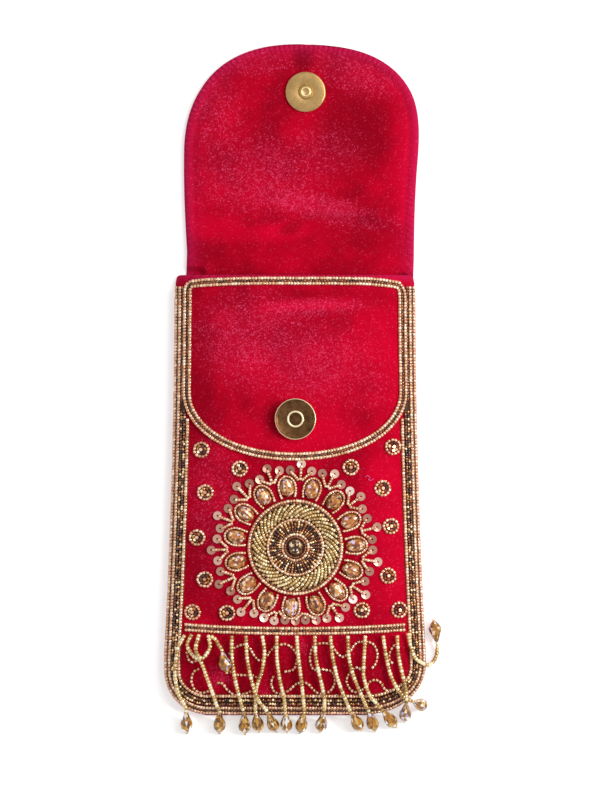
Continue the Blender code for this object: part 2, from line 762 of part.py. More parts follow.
def build_stud(collection):
    """The thin half on the flap: one turned plate with its post and stem, and a washer."""
    post_top = PLATE_WALL + POST_HEIGHT
    washer_floor = STIFFENER_FLOOR + (STIFFENER - WASHER_WALL) / 2
    plate = [
        (0.0, post_top),
        (POST_RADIUS - 0.5, post_top),
        (POST_RADIUS, post_top - 0.5),
        (POST_RADIUS, PLATE_WALL - 0.3),
        (POST_RADIUS + 1.0, PLATE_WALL - 0.3),
        (POST_RADIUS + 1.4, PLATE_WALL),
        (SNAP_RADIUS - 1.3, PLATE_WALL),
        (SNAP_RADIUS - 0.2, PLATE_WALL - 0.5),
        (SNAP_RADIUS - 0.2, 0.0),
        (SNAP_STEM, 0.0),
        (SNAP_STEM, washer_floor - STUD_SEAT),
        (0.0, washer_floor - STUD_SEAT),
    ]
    look = ("light_brass", LIGHT_BRASS)
    return [
        turned("snap_stud", look, plate, STUD_PLACE, STUD_SEAT, collection),
        washer("snap_stud_washer", STUD_PLACE, washer_floor, collection),
    ]


def washer(name, place, floor, collection):
    """A flat washer that the snap's stem is clenched over."""
    hole = SNAP_STEM + FIT
    ring = [(hole, 0.0), (hole, WASHER_WALL), (WASHER_RADIUS, WASHER_WALL), (WASHER_RADIUS, 0.0)]
    return turned(name, ("steel", STEEL), ring, place, floor, collection)


# The beadwork


def build_border(collection):
    """The rows that follow the sewn edge, from the outside in."""
    gold = ("pale_gold_beads", PALE_GOLD_BEADS)
    dark = ("dark_brown_beads", DARK_BROWN_BEADS)
    top = MOUTH_RISE - BORDER_ROW_TOP_DROP
    bead_band("edge_bead_row", gold, border_route(EDGE_ROW_INSET, top), collection)
    bead_band("border_bead_row", gold, border_route(BORDER_ROW_INSET, top), collection)
    zigzag = border_route(DARK_BAND_INSET, FLAP_LINE_KNEE_RISE - DARK_BAND_TOP_DROP)
    bead_band("dark_border_band", dark, zigzag, collection, rows=2, width=ROW_WIDTH * 0.65)
    inner = border_route(INNER_ROW_INSET, FLAP_LINE_KNEE_RISE - INNER_ROW_TOP_DROP)
    bead_band("inner_border_row", gold, inner, collection)


def flap_line_route(steps=9):
    """Where the closed flap ends: down inside one edge, round, and up the other."""
    top = MOUTH_RISE - FLAP_LINE_TOP_DROP
    halves = []
    for side in (-1, 1):
        rises = [top + (FLAP_LINE_KNEE_RISE - top) * i / 3 for i in range(3)]
        leg = [(side * (fabric_half_width(rise, side) - FLAP_LINE_INSET), rise) for rise in rises]
        knee = fabric_half_width(FLAP_LINE_KNEE_RISE, side) - FLAP_LINE_INSET
        for i in range(steps):
            turn = math.pi / 2 * i / steps
            across = knee * math.cos(turn) ** (2 / FLAP_LINE_ROUNDNESS)
            down = FLAP_LINE_DEPTH * math.sin(turn) ** (2 / FLAP_LINE_ROUNDNESS)
            leg.append((side * across, FLAP_LINE_KNEE_RISE - down))
        halves.append(leg)
    return halves[0] + [(0.0, FLAP_LINE_BOTTOM_RISE)] + halves[1][::-1]


def mouth_rows_route(steps=12):
    """Just below the mouth, bending down a little at both ends."""
    half = MOUTH_HALF_WIDTH - EDGE_OVERHANG - FLAP_LINE_INSET + 1.0
    level = MOUTH_RISE - MOUTH_ROWS_DROP
    xs = [half * (2 * i / steps - 1) for i in range(steps + 1)]
    return [(x, level - MOUTH_ROWS_SAG * (x / half) ** 4) for x in xs]


def header_rise(x):
    """The rise of the fringe header's middle row."""
    return HEADER_RISE + HEADER_ARCH * (x / BASE_HALF_WIDTH) ** 2


def header_route(steps=12):
    left = -(fabric_half_width(HEADER_RISE, -1) - HEADER_INSET)
    right = fabric_half_width(HEADER_RISE, 1) - HEADER_INSET
    xs = [left + (right - left) * i / steps for i in range(steps + 1)]
    return [(x, header_rise(x)) for x in xs]


def build_lines(collection):
    """Three double rows: the flap line, the mouth and the header that the fringe hangs from."""
    gold = ("pale_gold_beads", PALE_GOLD_BEADS)
    bead_band("flap_line_rows", gold, flap_line_route(), collection, rows=3, width=ROW_PITCH)
    bead_band("mouth_rows", gold, mouth_rows_route(), collection, rows=3, width=ROW_PITCH)
    bead_band("fringe_header_rows", gold, header_route(), collection, rows=3, width=ROW_PITCH)


def petal_turn(i):
    """The clockwise turn from the top to a petal's middle."""
    return PETAL_TURN + 2 * math.pi * i / PETALS


def petal_route(steps=6):
    """One wavy line round all the petals."""
    route = []
    for i in range(PETALS * steps):
        turn = petal_turn(i / steps - 0.5)
        wave = abs(math.sin(math.pi * i / steps)) ** 0.7
        radius = PETAL_BASE_RADIUS + (PETAL_TIP_RADIUS - PETAL_BASE_RADIUS) * wave
        route.append((MEDALLION_X + radius * math.sin(turn), MEDALLION_RISE + radius * math.cos(turn)))
    return route


def rope_ring(collection):
    """A ring of slanted twisted cords: high and low stations in turn, slanted across."""
    bm = bmesh.new()
    stations = []
    half = ROPE_RING_WIDTH / 2
    for i in range(2 * ROPE_TURNS):
        height = ROW_HEIGHT if i % 2 else ROW_HEIGHT * 0.4
        station = []
        for across, lift in ((-half, 0.0), (-half * 0.6, height), (half * 0.6, height), (half, 0.0)):
            turn = math.pi * (i + across * 0.5) / ROPE_TURNS
            radius = ROPE_RING_RADIUS + across
            x = MEDALLION_X + radius * math.sin(turn)
            rise = MEDALLION_RISE + radius * math.cos(turn)
            station.append(bm.verts.new(world(*off_front(x, rise, BEAD_GAP + lift))))
        stations.append(station)
    for here, there in zip(stations, stations[1:] + stations[:1]):
        for i in range(4):
            j = (i + 1) % 4
            bm.faces.new((here[i], here[j], there[j], there[i]))
    object_from(bm, "medallion_rope_ring", ("green_gold_rope", GREEN_GOLD_ROPE), collection)


def build_medallion(collection):
    gold = ("pale_gold_beads", PALE_GOLD_BEADS)
    dark = ("dark_brown_beads", DARK_BROWN_BEADS)
    place = (MEDALLION_X, MEDALLION_RISE)
    heart = [(0.0, 2.8), (HEART_RADIUS * 0.55, 2.4), (HEART_RADIUS, 0.9), (HEART_RADIUS, 0.0), (0.0, 0.0)]
    seat = front_height(*place) + BEAD_GAP
    turned("medallion_heart", ("amber_glass", AMBER_GLASS), heart, place, seat, collection, steps=10)
    inner = ring_route(INNER_RING_RADIUS, 20)
    bead_band("medallion_inner_ring", gold, inner, collection, closed=True)
    spokes = ring_route(SPOKE_RING_RADIUS, 28)
    bead_band("medallion_spoke_ring", dark, spokes, collection, width=SPOKE_RING_WIDTH, closed=True)
    middle = ring_route(MIDDLE_RING_RADIUS, 32)
    bead_band("medallion_middle_ring", gold, middle, collection, closed=True)
    rope_ring(collection)
    outer = ring_route(OUTER_RING_RADIUS, 44)
    bead_band("medallion_outer_ring", gold, outer, collection, closed=True)
    bead_band("petal_loops", gold, petal_route(), collection, width=ROW_WIDTH * 0.85, closed=True)


# Ornaments sewn fast to the front, one helper mesh for each kind


def stand_on_front(bm, verts, x, rise, depth, turn=0.0):
    """Moves a shape made round the origin to its place on the front, sunk this deep."""
    base = off_front(x, rise, -depth)
    upright = (off_front(x, rise, 1.0) - off_front(x, rise, 0.0)).normalized()
    tilt = Vector((0, 0, 1)).rotation_difference(upright).to_matrix()
    spin = Matrix.Rotation(-turn, 3, "Z")
    for vert in verts:
        vert.co = world(*(base + tilt @ spin @ vert.co))


def add_disc(bm, x, rise, radius, top_radius, height, sunk=0.6, sides=8):
    """A low round boss, standing out of the cloth by its height."""
    size = height + sunk
    made = bmesh.ops.create_cone(bm, cap_ends=True, segments=sides, radius1=radius, radius2=top_radius, depth=size)
    bmesh.ops.translate(bm, verts=made["verts"], vec=(0, 0, size / 2))
    stand_on_front(bm, made["verts"], x, rise, sunk)


def spray_reach(turn, sequin_radius):
    """How far out a sequin sits: less where the header would cover it."""
    if math.cos(turn) >= 0:
        return SPRAY_RADIUS
    room = MEDALLION_RISE - HEADER_RISE - 1.5 * ROW_PITCH - sequin_radius - SPRAY_TUCK
    return min(SPRAY_RADIUS, room / -math.cos(turn))


def rosette_places():
    """The flowers' middles, in plan."""
    places = []
    for side, inset, up in ROSETTES:
        rise = MEDALLION_RISE + up
        places.append((side * (fabric_half_width(rise, side) - inset), rise))
    return places


def scroll_route(scroll, step=3.2):
    """One scroll, in plan."""
    points = [(across * BASE_HALF_WIDTH, up * HEADER_RISE) for across, up in scroll]
    return [(place.x, place.y) for place in smooth_route(points, step)]


def build_ornaments(helpers):
    kinds = []
    bm = bmesh.new()
    for x, rise in rosette_places():
        add_disc(bm, x, rise, ROSETTE_RADIUS, ROSETTE_RADIUS * 0.8, 1.1, sides=10)
    kinds.append(("rosettes", bm))
    bm = bmesh.new()
    for x, rise in rosette_places():
        add_disc(bm, x, rise, ROSETTE_RADIUS * 0.4, ROSETTE_RADIUS * 0.2, 1.9, sides=6)
    kinds.append(("rosette_hearts", bm))
    bm = bmesh.new()
    for i in range(PETALS):
        between = petal_turn(i + 0.5)
        for turn in (between - SPRAY_SPREAD, between, between + SPRAY_SPREAD):
            reach = spray_reach(turn, SEQUIN_RADIUS)
            x = MEDALLION_X + reach * math.sin(turn)
            rise = MEDALLION_RISE + reach * math.cos(turn)
            add_disc(bm, x, rise, SEQUIN_RADIUS, SEQUIN_RADIUS * 0.92, 0.6, sides=6)
    kinds.append(("sequins", bm))
    bm = bmesh.new()
    for i in range(PETALS):
        add_crystal(bm, petal_turn(i))
    kinds.append(("crystals", bm))
    bm = bmesh.new()
    for scroll in SCROLLS:
        section = [(-SCROLL_WIDTH / 2, -0.3), (0.0, SCROLL_HEIGHT), (SCROLL_WIDTH / 2, -0.3), (0.0, -0.6)]
        band_on_front(bm, scroll_route(scroll), section, 0.0)
    kinds.append(("scrolls", bm))
    made = [object_from(bm, name, ("pale_gold_beads", PALE_GOLD_BEADS), helpers) for name, bm in kinds]
    for ornament in made:
        ornament.hide_render = True
    return made


def add_crystal(bm, turn):
    """An oval faceted stone in a petal, its long side pointing outwards."""
    made = bmesh.ops.create_uvsphere(bm, u_segments=8, v_segments=4, radius=1.0)
    bmesh.ops.scale(bm, verts=made["verts"], vec=(CRYSTAL_HALF_WIDTH, CRYSTAL_HALF_LENGTH, 1.6))
    bmesh.ops.translate(bm, verts=made["verts"], vec=(0, 0, 1.6))
    x = MEDALLION_X + CRYSTAL_RADIUS * math.sin(turn)
    rise = MEDALLION_RISE + CRYSTAL_RADIUS * math.cos(turn)
    stand_on_front(bm, made["verts"], x, rise, 1.0, turn)


# The fringe


def strand_places(number):
    """The middle of one strand, from over the header to just short of its drop."""
    lifts = CROSSING_LIFTS.get(number, {})
    places = [off_front(*foot, STRAND_LIFT + lifts.get(i, 0.0)) for i, foot in enumerate(STRANDS[number])]
    if number == SIDE_STRAND:
        places += [Vector(place) for place in SIDE_STRAND_TABLE_ROUTE]
    top, tip = (Vector(end) for end in DROPS[number])
    places.append(top + (top - tip).normalized() * DROP_CLEARANCE)
    return smooth_route(places, STRAND_STEP)


def build_drop(number, collection):
    """A faceted glass drop, its local Z pointing from its tip to its top."""
    top, tip = (Vector(end) for end in DROPS[number])
    length = (top - tip).length
    shares = ((0.0, 0.16), (0.1, 0.5), (0.38, 1.0), (0.66, 0.72), (0.9, 0.4), (1.0, 0.3))
    sides = [(DROP_RADIUS * r, length * s) for s, r in reversed(shares)]
    profile = [(0.0, length)] + sides + [(0.0, 0.0)]
    look = ("champagne_glass", AMBER_GLASS)
    drop = turned(f"drop_{number + 1:02d}", look, profile, (tip.x, tip.y), tip.z, collection, steps=8)
    drop.rotation_mode = "QUATERNION"
    drop.rotation_quaternion = Vector((0, 0, 1)).rotation_difference(top - tip)


def build_fringe(collection):
    for number in range(len(STRANDS)):
        look = ("champagne_beads", CHAMPAGNE_BEADS)
        tube(f"strand_{number + 1:02d}", look, strand_places(number), STRAND_RADIUS, collection)
        build_drop(number, collection)


def main():
    clear_scene()
    pouch = new_collection("phone_pouch")
    helpers = new_collection("helpers")
    helpers.hide_render = True
    build_back(pouch)
    build_front(pouch, helpers)
    hang_on_fold(build_flap(pouch) + build_stud(pouch), pouch)
    build_socket(pouch)
    build_border(pouch)
    build_lines(pouch)
    build_medallion(pouch)
    build_fringe(pouch)


main()
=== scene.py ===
"""A crimson velvet phone pouch with seed bead embroidery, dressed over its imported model.

Sizes are in millimetres. A plan place is (x, rise): x runs to the right from the middle,
and rise runs up from the bottom edge towards the fold and the flap.
"""

import random
from math import cos, hypot, pi, radians, sin, sqrt

import bmesh
import bpy
import numpy as np
from mathutils import Matrix, Vector, noise

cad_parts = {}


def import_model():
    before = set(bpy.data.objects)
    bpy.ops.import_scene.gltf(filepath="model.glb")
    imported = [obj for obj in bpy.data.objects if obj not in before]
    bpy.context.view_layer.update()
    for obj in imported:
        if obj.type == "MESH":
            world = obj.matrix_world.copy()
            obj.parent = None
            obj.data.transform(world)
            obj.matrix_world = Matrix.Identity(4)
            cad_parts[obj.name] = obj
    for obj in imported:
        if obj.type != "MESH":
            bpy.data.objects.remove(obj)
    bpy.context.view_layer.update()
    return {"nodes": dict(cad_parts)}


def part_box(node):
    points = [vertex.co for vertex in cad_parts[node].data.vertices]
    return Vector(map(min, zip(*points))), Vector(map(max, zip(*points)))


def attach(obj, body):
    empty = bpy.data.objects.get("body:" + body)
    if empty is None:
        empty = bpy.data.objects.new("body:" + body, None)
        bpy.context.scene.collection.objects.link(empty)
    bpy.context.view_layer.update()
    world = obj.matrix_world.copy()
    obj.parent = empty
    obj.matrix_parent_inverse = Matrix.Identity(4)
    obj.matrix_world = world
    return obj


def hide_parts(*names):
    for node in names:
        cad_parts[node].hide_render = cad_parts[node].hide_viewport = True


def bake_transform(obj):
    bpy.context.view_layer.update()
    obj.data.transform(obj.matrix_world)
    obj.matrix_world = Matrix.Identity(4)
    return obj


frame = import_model()

MM = 0.001
chance = random.Random(7)

# Pouch outline and padding, as the part has them
BACK_LENGTH = 202.5
MOUTH_RISE = 193.9
MOUTH_HALF_WIDTH = 53.3
BASE_HALF_WIDTH = 57.9
BASE_RISE = 27.0
MOUTH_CORNER = 3.2
CORNERS = {-1: (18.5, 19.5), 1: (26.0, 22.0)}
EDGE_OVERHANG = 0.8
SEAM_HEIGHT = 1.2
CROWN_HEIGHT = 14.5
CROWN_REACH = 30.0
LIP_DROP = 0.12
LIP_REACH = 25.0
PADDED_WALL = 3.6

# Flap and fold
FOLD_X = 2.4
FLAP_LEAN = radians(1.79)
FLAP_BASE_HALF = 49.9
FLAP_HALF_WIDTH = 51.5
FLAP_LENGTH = 92.83
FLAP_TIP_HEIGHT = 46.5
TIP_ROUNDNESS = 2.4
FLAP_WALL = 3.6
EDGE_ROLL = 2.2
FOLD_ZONE = 6.0
ALONG_FLAP = (sin(FLAP_LEAN), cos(FLAP_LEAN))
ACROSS_FLAP = (cos(FLAP_LEAN), -sin(FLAP_LEAN))

# Rows of beads, as distances in from the sewn edge
BEAD_RADIUS = 0.76
BEAD_LENGTH = 1.3
BEAD_PITCH = 1.36
EDGE_ROW_INSET = 1.0
BORDER_ROW_INSET = 2.6
DARK_BAND_INSET = 4.52
INNER_ROW_INSET = 6.5
FLAP_LINE_INSET = 5.8
ROW_PITCH = 1.15
BOW_REACH = 14.0
BORDER_TOP = MOUTH_RISE - 5.0
COLUMN_TOPS = {-1: MOUTH_RISE - 7.2, 1: MOUTH_RISE - 10.4}
FLAP_LINE_KNEE = 143.0
FLAP_LINE_DEPTH = 28.7
FLAP_LINE_ROUNDNESS = 2.1
DARK_BAND_TOP = FLAP_LINE_KNEE - 8.4
INNER_ROW_TOP = FLAP_LINE_KNEE - 12.0
MOUTH_ROWS_DROP = 2.8
HEADER_RISE = 38.0
HEADER_ARCH = 2.2
HEADER_INSET = 8.6

# Medallion
MEDALLION = (0.2, 74.6)
PETALS = 15
PETAL_TURN = radians(-7.9)
CRYSTAL_RADIUS = 26.4
CRYSTAL_HALF = (3.12, 4.3)
SPRAY_RADII = {-1: 34.0, 0: 36.7, 1: 34.0}
SPRAY_SPREAD = radians(8.0)
SEQUIN_RADIUS = 1.95
# A stone's rings: shares of its half width, half length and height, and how far it is turned
STONE_RINGS = (
    (1, 1, 0.0, 0.5), (1, 1, 0.28, 0.5), (0.82, 0.9, 0.66, 0.0), (0.52, 0.74, 0.9, 0.5),
    (0.18, 0.5, 1.0, 0.0),
)

# Small flowers: side, distance in from that side, rise above the medallion's middle
ROSETTES = (
    (-1, 12.7, 42.7), (-1, 29.6, 34.4), (-1, 14.9, 24), (-1, 12.1, 4.2), (-1, 16.2, -14.1),
    (-1, 11.5, -28.5), (-1, 26.5, -28.7), (1, 10.7, 43.9), (1, 29.2, 35), (1, 15.7, 25.8),
    (1, 12.7, 9.2), (1, 14.7, -12.5), (1, 10.6, -27.5), (1, 26.8, -27.5),
)

# Scrolls behind the fringe, as routes of (share of the half width, share of the header's rise)
SCROLLS = (
    (
        (-0.644, 0.316), (-0.703, 0.289), (-0.755, 0.324), (-0.781, 0.422), (-0.76, 0.532),
        (-0.717, 0.572),
    ),
    (
        (-0.592, 0.406), (-0.551, 0.401), (-0.509, 0.324), (-0.449, 0.265), (-0.358, 0.289),
        (-0.328, 0.316),
    ),
    (
        (-0.501, 0.722), (-0.472, 0.794), (-0.416, 0.834), (-0.358, 0.829), (-0.263, 0.658),
        (-0.159, 0.813), (-0.111, 0.842), (-0.054, 0.84), (0.003, 0.765), (0.016, 0.671),
        (-0.012, 0.559), (-0.083, 0.529),
    ),
    ((-0.491, 0.553), (-0.468, 0.505), (-0.399, 0.495), (-0.316, 0.489), (-0.282, 0.455)),
    (
        (-0.159, 0.492), (-0.178, 0.412), (-0.159, 0.31), (-0.107, 0.281), (-0.045, 0.318),
        (0.007, 0.388), (0.076, 0.412), (0.159, 0.305), (0.216, 0.283), (0.273, 0.324), (0.302, 0.417),
        (0.282, 0.532), (0.206, 0.559), (0.145, 0.559), (0.114, 0.647), (0.119, 0.749), (0.145, 0.834),
        (0.211, 0.861), (0.273, 0.84), (0.32, 0.741), (0.368, 0.703), (0.42, 0.775), (0.459, 0.858),
        (0.525, 0.877), (0.585, 0.853), (0.62, 0.757), (0.611, 0.642), (0.577, 0.564),
    ),
    (
        (0.501, 0.553), (0.463, 0.583), (0.418, 0.529), (0.39, 0.441), (0.406, 0.353), (0.449, 0.302),
        (0.508, 0.324), (0.56, 0.414), (0.608, 0.441), (0.649, 0.401), (0.68, 0.324), (0.734, 0.321),
    ),
    ((0.753, 0.848), (0.718, 0.765), (0.71, 0.706), (0.718, 0.647), (0.741, 0.623)),
    ((-0.819, 0.765), (-0.794, 0.658), (-0.767, 0.644), (-0.734, 0.658)),
)

# Fringe: each strand's route over the front, then the top and tip of its glass drop
STRAND_DIAMETER = 2.0
STRAND_LIFT = 2.8
STRAND_STEP = 5.5
STRAND_BEAD = 1.42
STRAND_PITCH = 1.5
DROP_CLEARANCE = 1.3
DROP_RADIUS = 2.85
DROP_SIDES = 10
# Shares of a drop's length from its tip, and of its radius there
DROP_SHAPE = (
    (0.06, 0.3), (0.17, 0.66), (0.32, 0.98), (0.47, 0.96), (0.64, 0.7), (0.8, 0.46), (0.93, 0.3),
)
STRANDS = (
    ((-47.1, 36.1), (-49.7, 30.8), (-51, 22.9), (-51, 16.7), (-49.6, 10.6), (-47.8, 7.6)),
    ((-44.2, 36.5), (-46.1, 31.7), (-43.8, 27.3), (-40.7, 25.1), (-38, 18), (-35.4, 11), (-34, 6.8)),
    (
        (-41.2, 36.5), (-42, 30), (-39.6, 26.4), (-36.7, 30.8), (-37.2, 35.6), (-34.4, 34.4),
        (-32.9, 31.6),
    ),
    ((-27.5, 36.1), (-27.6, 28.2), (-26.2, 17.8), (-24.2, 9.8), (-23.2, 6.4)),
    ((-21.4, 36.1), (-20.9, 26.4), (-18.8, 16.7), (-17, 11.8), (-15.4, 8.6), (-13.9, 6.4)),
    ((-14.3, 36.1), (-13.3, 29), (-14.3, 21.5), (-16.9, 13.6), (-17.3, 6.8)),
    ((-7.9, 36.1), (-7.9, 26.8), (-6.7, 17.8), (-4.8, 9.8), (-4.4, 6.6)),
    ((0.8, 36.1), (1.4, 27.9), (2.7, 17.8), (3.6, 9.8), (3.9, 6.6)),
    ((8.7, 36.1), (9.1, 26.8), (11.1, 17.8), (12.9, 9.8), (12.9, 6.6)),
    ((15.5, 36.1), (16.5, 26.8), (19, 16.7), (21.8, 9.8), (23.2, 6.6)),
    ((23.1, 36.1), (23.6, 26.8), (25.6, 18.9), (29, 10.8), (30.9, 6.6)),
    ((30.6, 36.1), (30.1, 26.8), (30, 18.2), (32.2, 11.4), (34.8, 8.2)),
    ((38, 36.1), (39.4, 26.8), (41.2, 19.4), (43.8, 14), (46.2, 11.2)),
    ((43.9, 36.1), (44.4, 27.5), (46.2, 19), (47.4, 13.4)),
    ((48.2, 37), (49.3, 31.4), (51.2, 26.2), (54.2, 23.6)),
)
CROSSING_LIFTS = {2: {1: 2.4, 2: 2.4}, 4: {2: 0.9, 3: 2.5, 4: 1.4}, 12: {3: 1.4, 4: 3.2}}
DROPS = (
    ((-47.8, 2.6, 7.8), (-47.5, -7.6, 1.0)),
    ((-33.0, 2.4, 9.6), (-33.2, -7.6, 0.9)),
    ((-31.9, 29.6, 18.2), (-29.7, 19.8, 18.6)),
    ((-22.5, 2.0, 9.6), (-22.0, -8.0, 0.9)),
    ((-11.8, 1.7, 10.0), (-8.2, -6.9, 0.9)),
    ((-17.2, 2.2, 9.6), (-15.8, -7.0, 0.9)),
    ((-4.2, 2.0, 9.6), (-3.5, -7.2, 0.9)),
    ((4.0, 2.0, 9.6), (2.0, -7.6, 0.9)),
    ((12.6, 1.9, 9.8), (10.8, -7.2, 0.9)),
    ((24.7, 1.9, 9.8), (29.2, -6.5, 0.9)),
    ((32.3, 2.8, 9.4), (35.2, -6.9, 0.9)),
    ((38.2, 3.2, 9.6), (44.6, -5.0, 0.9)),
    ((51.6, 7.0, 10.9), (57.8, 4.0, 1.2)),
    ((48.8, 6.0, 8.6), (48.2, -2.6, 0.9)),
    ((62.5, 32.2, 3.0), (60.9, 42.4, 3.0)),
)
SIDE_STRAND_TABLE_ROUTE = ((58.6, 22.6, 5.6), (61.2, 24.6, 2.6), (62.4, 27.6, 1.7), (62.6, 30.6, 2.4))
SIDE_STRAND = 14

# Camera: the photograph is 264 x 352 mm of the table, seen from straight above
VIEW_LENGTH = 352.0
VIEW_MIDDLE = (2.2, 139.0)
CAMERA_HEIGHT = 2.4
SENSOR = 36.0

# Light: lamps as name, place in metres, size in metres and power in watts
LAMPS = (
    ("broad_lamp", (0.55, 0.45, 0.95), 0.6, 5.2),
    ("small_lamp", (0.85, 0.05, 0.8), 0.12, 4.8),
)
ROOM_LIGHT = 0.45

# The table: half its width and how far it lies below the pouch, in metres, and its extra white
TABLE_HALF = 4.0
TABLE_GAP = 0.0002
TABLE_LIFT = 0.48


def world(x, rise, z):
    """A place in metres in the world, from millimetres on the pouch."""
    return Vector((x, rise - BACK_LENGTH / 2, z)) * MM


# Camera, table and light


def set_camera():
    lens = bpy.data.cameras.new("straight_above")
    lens.sensor_width = SENSOR
    lens.lens = SENSOR * CAMERA_HEIGHT / (VIEW_LENGTH * MM)
    camera = bpy.data.objects.new("straight_above", lens)
    camera.location = world(*VIEW_MIDDLE, 0) + Vector((0, 0, CAMERA_HEIGHT))
    bpy.context.scene.collection.objects.link(camera)
    bpy.context.scene.camera = camera


def colour(text):
    """Linear RGBA from an sRGB hex value such as "#C4002A"."""
    parts = [int(text[start:start + 2], 16) / 255 for start in (1, 3, 5)]
    return (*(p / 12.92 if p <= 0.04045 else ((p + 0.055) / 1.055) ** 2.4 for p in parts), 1.0)


def feed(tree, node, inputs):
    """Sets a node's inputs: to a value, to a colour such as "#C4002A" or from another node's output."""
    for key, value in inputs.items():
        if isinstance(value, bpy.types.NodeSocket):
            tree.links.new(value, node.inputs[key])
        else:
            node.inputs[key].default_value = colour(value) if isinstance(value, str) else value


def put(tree, kind, inputs=None, out=0, stops=(), **settings):
    """Adds a node with its settings, inputs and a ramp's stops, and gives back one of its outputs."""
    made = tree.nodes.new("ShaderNode" + kind)
    for key, value in settings.items():
        setattr(made, key, value)
    feed(tree, made, inputs or {})
    for number, (place, shade) in enumerate(stops):
        elements = made.color_ramp.elements
        element = elements[number] if number < len(elements) else elements.new(place)
        element.position = place
        element.color = colour(shade)
    return made.outputs[out]


def seen_directly(tree):
    """1 for what the camera, a mirror or clear glass looks at, 0 for light that falls on things."""
    path = put(tree, "LightPath").node.outputs
    seen = put(tree, "Math", {0: path["Is Camera Ray"], 1: path["Is Glossy Ray"]}, operation="ADD")
    return put(tree, "Math", {0: seen, 1: path["Is Transmission Ray"]}, operation="ADD", use_clamp=True)


def set_table_and_light():
    """A white table in a pale room, a broad soft lamp at the upper right, and a small one lower on
    the right that gives the beads their glints."""
    mesh = bpy.data.meshes.new("table")
    size = TABLE_HALF
    corners = [(-size, -size, 0), (size, -size, 0), (size, size, 0), (-size, size, 0)]
    mesh.from_pydata(corners, [], [(0, 1, 2, 3)])
    table = bpy.data.objects.new("table", mesh)
    table.location.z = -TABLE_GAP
    white, tree, shader = begin("white_laminate_table")
    lift = put(tree, "Math", {0: seen_directly(tree), 1: TABLE_LIFT}, operation="MULTIPLY")
    feed(tree, shader, {"Base Color": "#F2F2F2", "Roughness": 0.7, "Specular IOR Level": 0.1})
    feed(tree, shader, {"Emission Color": "#FFFFFF", "Emission Strength": lift})
    mesh.materials.append(white)
    bpy.context.scene.collection.objects.link(table)
    room = bpy.data.worlds.new("pale_room")
    room.use_nodes = True
    tree = room.node_tree
    inputs = {0: seen_directly(tree), 1: 1 - ROOM_LIGHT, 2: ROOM_LIGHT}
    level = put(tree, "Math", inputs, operation="MULTIPLY_ADD")
    feed(tree, tree.nodes["Background"], {"Color": "#FFFFFF", "Strength": level})
    bpy.context.scene.world = room
    for name, place, across, power in LAMPS:
        lamp = bpy.data.lights.new(name, "AREA")
        lamp.size = across
        lamp.energy = power
        holder = bpy.data.objects.new(name, lamp)
        holder.location = place
        holder.rotation_mode = "QUATERNION"
        holder.rotation_quaternion = Vector(place).to_track_quat("Z", "Y")
        bpy.context.scene.collection.objects.link(holder)
    bpy.context.scene.view_settings.view_transform = "Standard"


# Outlines and heights, as the part works them out


def fabric_half_width(rise, side):
    taper = min((MOUTH_RISE - rise) / (MOUTH_RISE - BASE_RISE), 1.0)
    half = MOUTH_HALF_WIDTH + (BASE_HALF_WIDTH - MOUTH_HALF_WIDTH) * taper**2 - EDGE_OVERHANG
    wide, high = CORNERS[side]
    into_corner = (high - (rise - EDGE_OVERHANG)) / high
    if into_corner > 0:
        half -= wide * (1 - sqrt(max(1 - into_corner**2, 0)))
    into_mouth = (rise - MOUTH_RISE + MOUTH_CORNER) / MOUTH_CORNER
    if into_mouth > 0:
        half -= MOUTH_CORNER * (1 - sqrt(max(1 - into_mouth**2, 0)))
    return half


def side_run(side, top, steps=30, corner_steps=24):
    """Places down one side of the cloth and round its bottom corner, from this rise."""
    high = CORNERS[side][1]
    corner_top = high + EDGE_OVERHANG
    rises = [top + (corner_top - top) * i / steps for i in range(steps)]
    rises += [corner_top - high * sin(pi / 2 * i / corner_steps) for i in range(corner_steps + 1)]
    return [(side * fabric_half_width(rise, side), rise) for rise in rises]


def sewn_edge(top, bottom_steps=24):
    """The three sewn sides of the cloth: down the left, along the bottom, up the right."""
    left, right = side_run(-1, top), side_run(1, top)
    start, end = left[-1][0], right[-1][0]
    bottom = [(start + (end - start) * i / bottom_steps, EDGE_OVERHANG) for i in range(1, bottom_steps)]
    return left + bottom + right[::-1]


def sideways(route):
    found = []
    for i in range(len(route)):
        before, after = route[max(i - 1, 0)], route[min(i + 1, len(route) - 1)]
        run = hypot(after[0] - before[0], after[1] - before[1]) or 1.0
        found.append((-(after[1] - before[1]) / run, (after[0] - before[0]) / run))
    return found


def ease(share):
    """From 0 to 1, slowly at both ends."""
    return share * share * (3 - 2 * share)


def inset_route(route, inset):
    """The route moved this far to the left of travel, which is inwards on the sewn edge."""
    return [(x + inset * nx, rise + inset * nr) for (x, rise), (nx, nr) in zip(route, sideways(route))]


def border_route(inset, top):
    """A row this far inside the sewn edge. Along the bottom the rows bow up, the inner ones more."""
    bow = 0.2 + 0.33 * inset
    route = []
    for x, rise in inset_route(sewn_edge(top), inset):
        share = min(1.0, max(0.0, 1 - (rise - inset) / BOW_REACH))
        route.append((x, rise + bow * ease(share)))
    return route


def smooth_route(points, step):
    """Places about one step apart on a smooth curve through these points."""
    knots = [Vector(point) for point in points]
    knots = [2 * knots[0] - knots[1]] + knots + [2 * knots[-1] - knots[-2]]
    found = []
    for before, start, end, after in zip(knots, knots[1:], knots[2:], knots[3:]):
        pieces = max(1, round((end - start).length / step))
        for i in range(pieces):
            t = i / pieces
            swing = (end - before) * t + (2 * before - 5 * start + 4 * end - after) * t**2
            swing += (3 * start - before - 3 * end + after) * t**3
            found.append(start + swing / 2)
    return found + [knots[-2]]


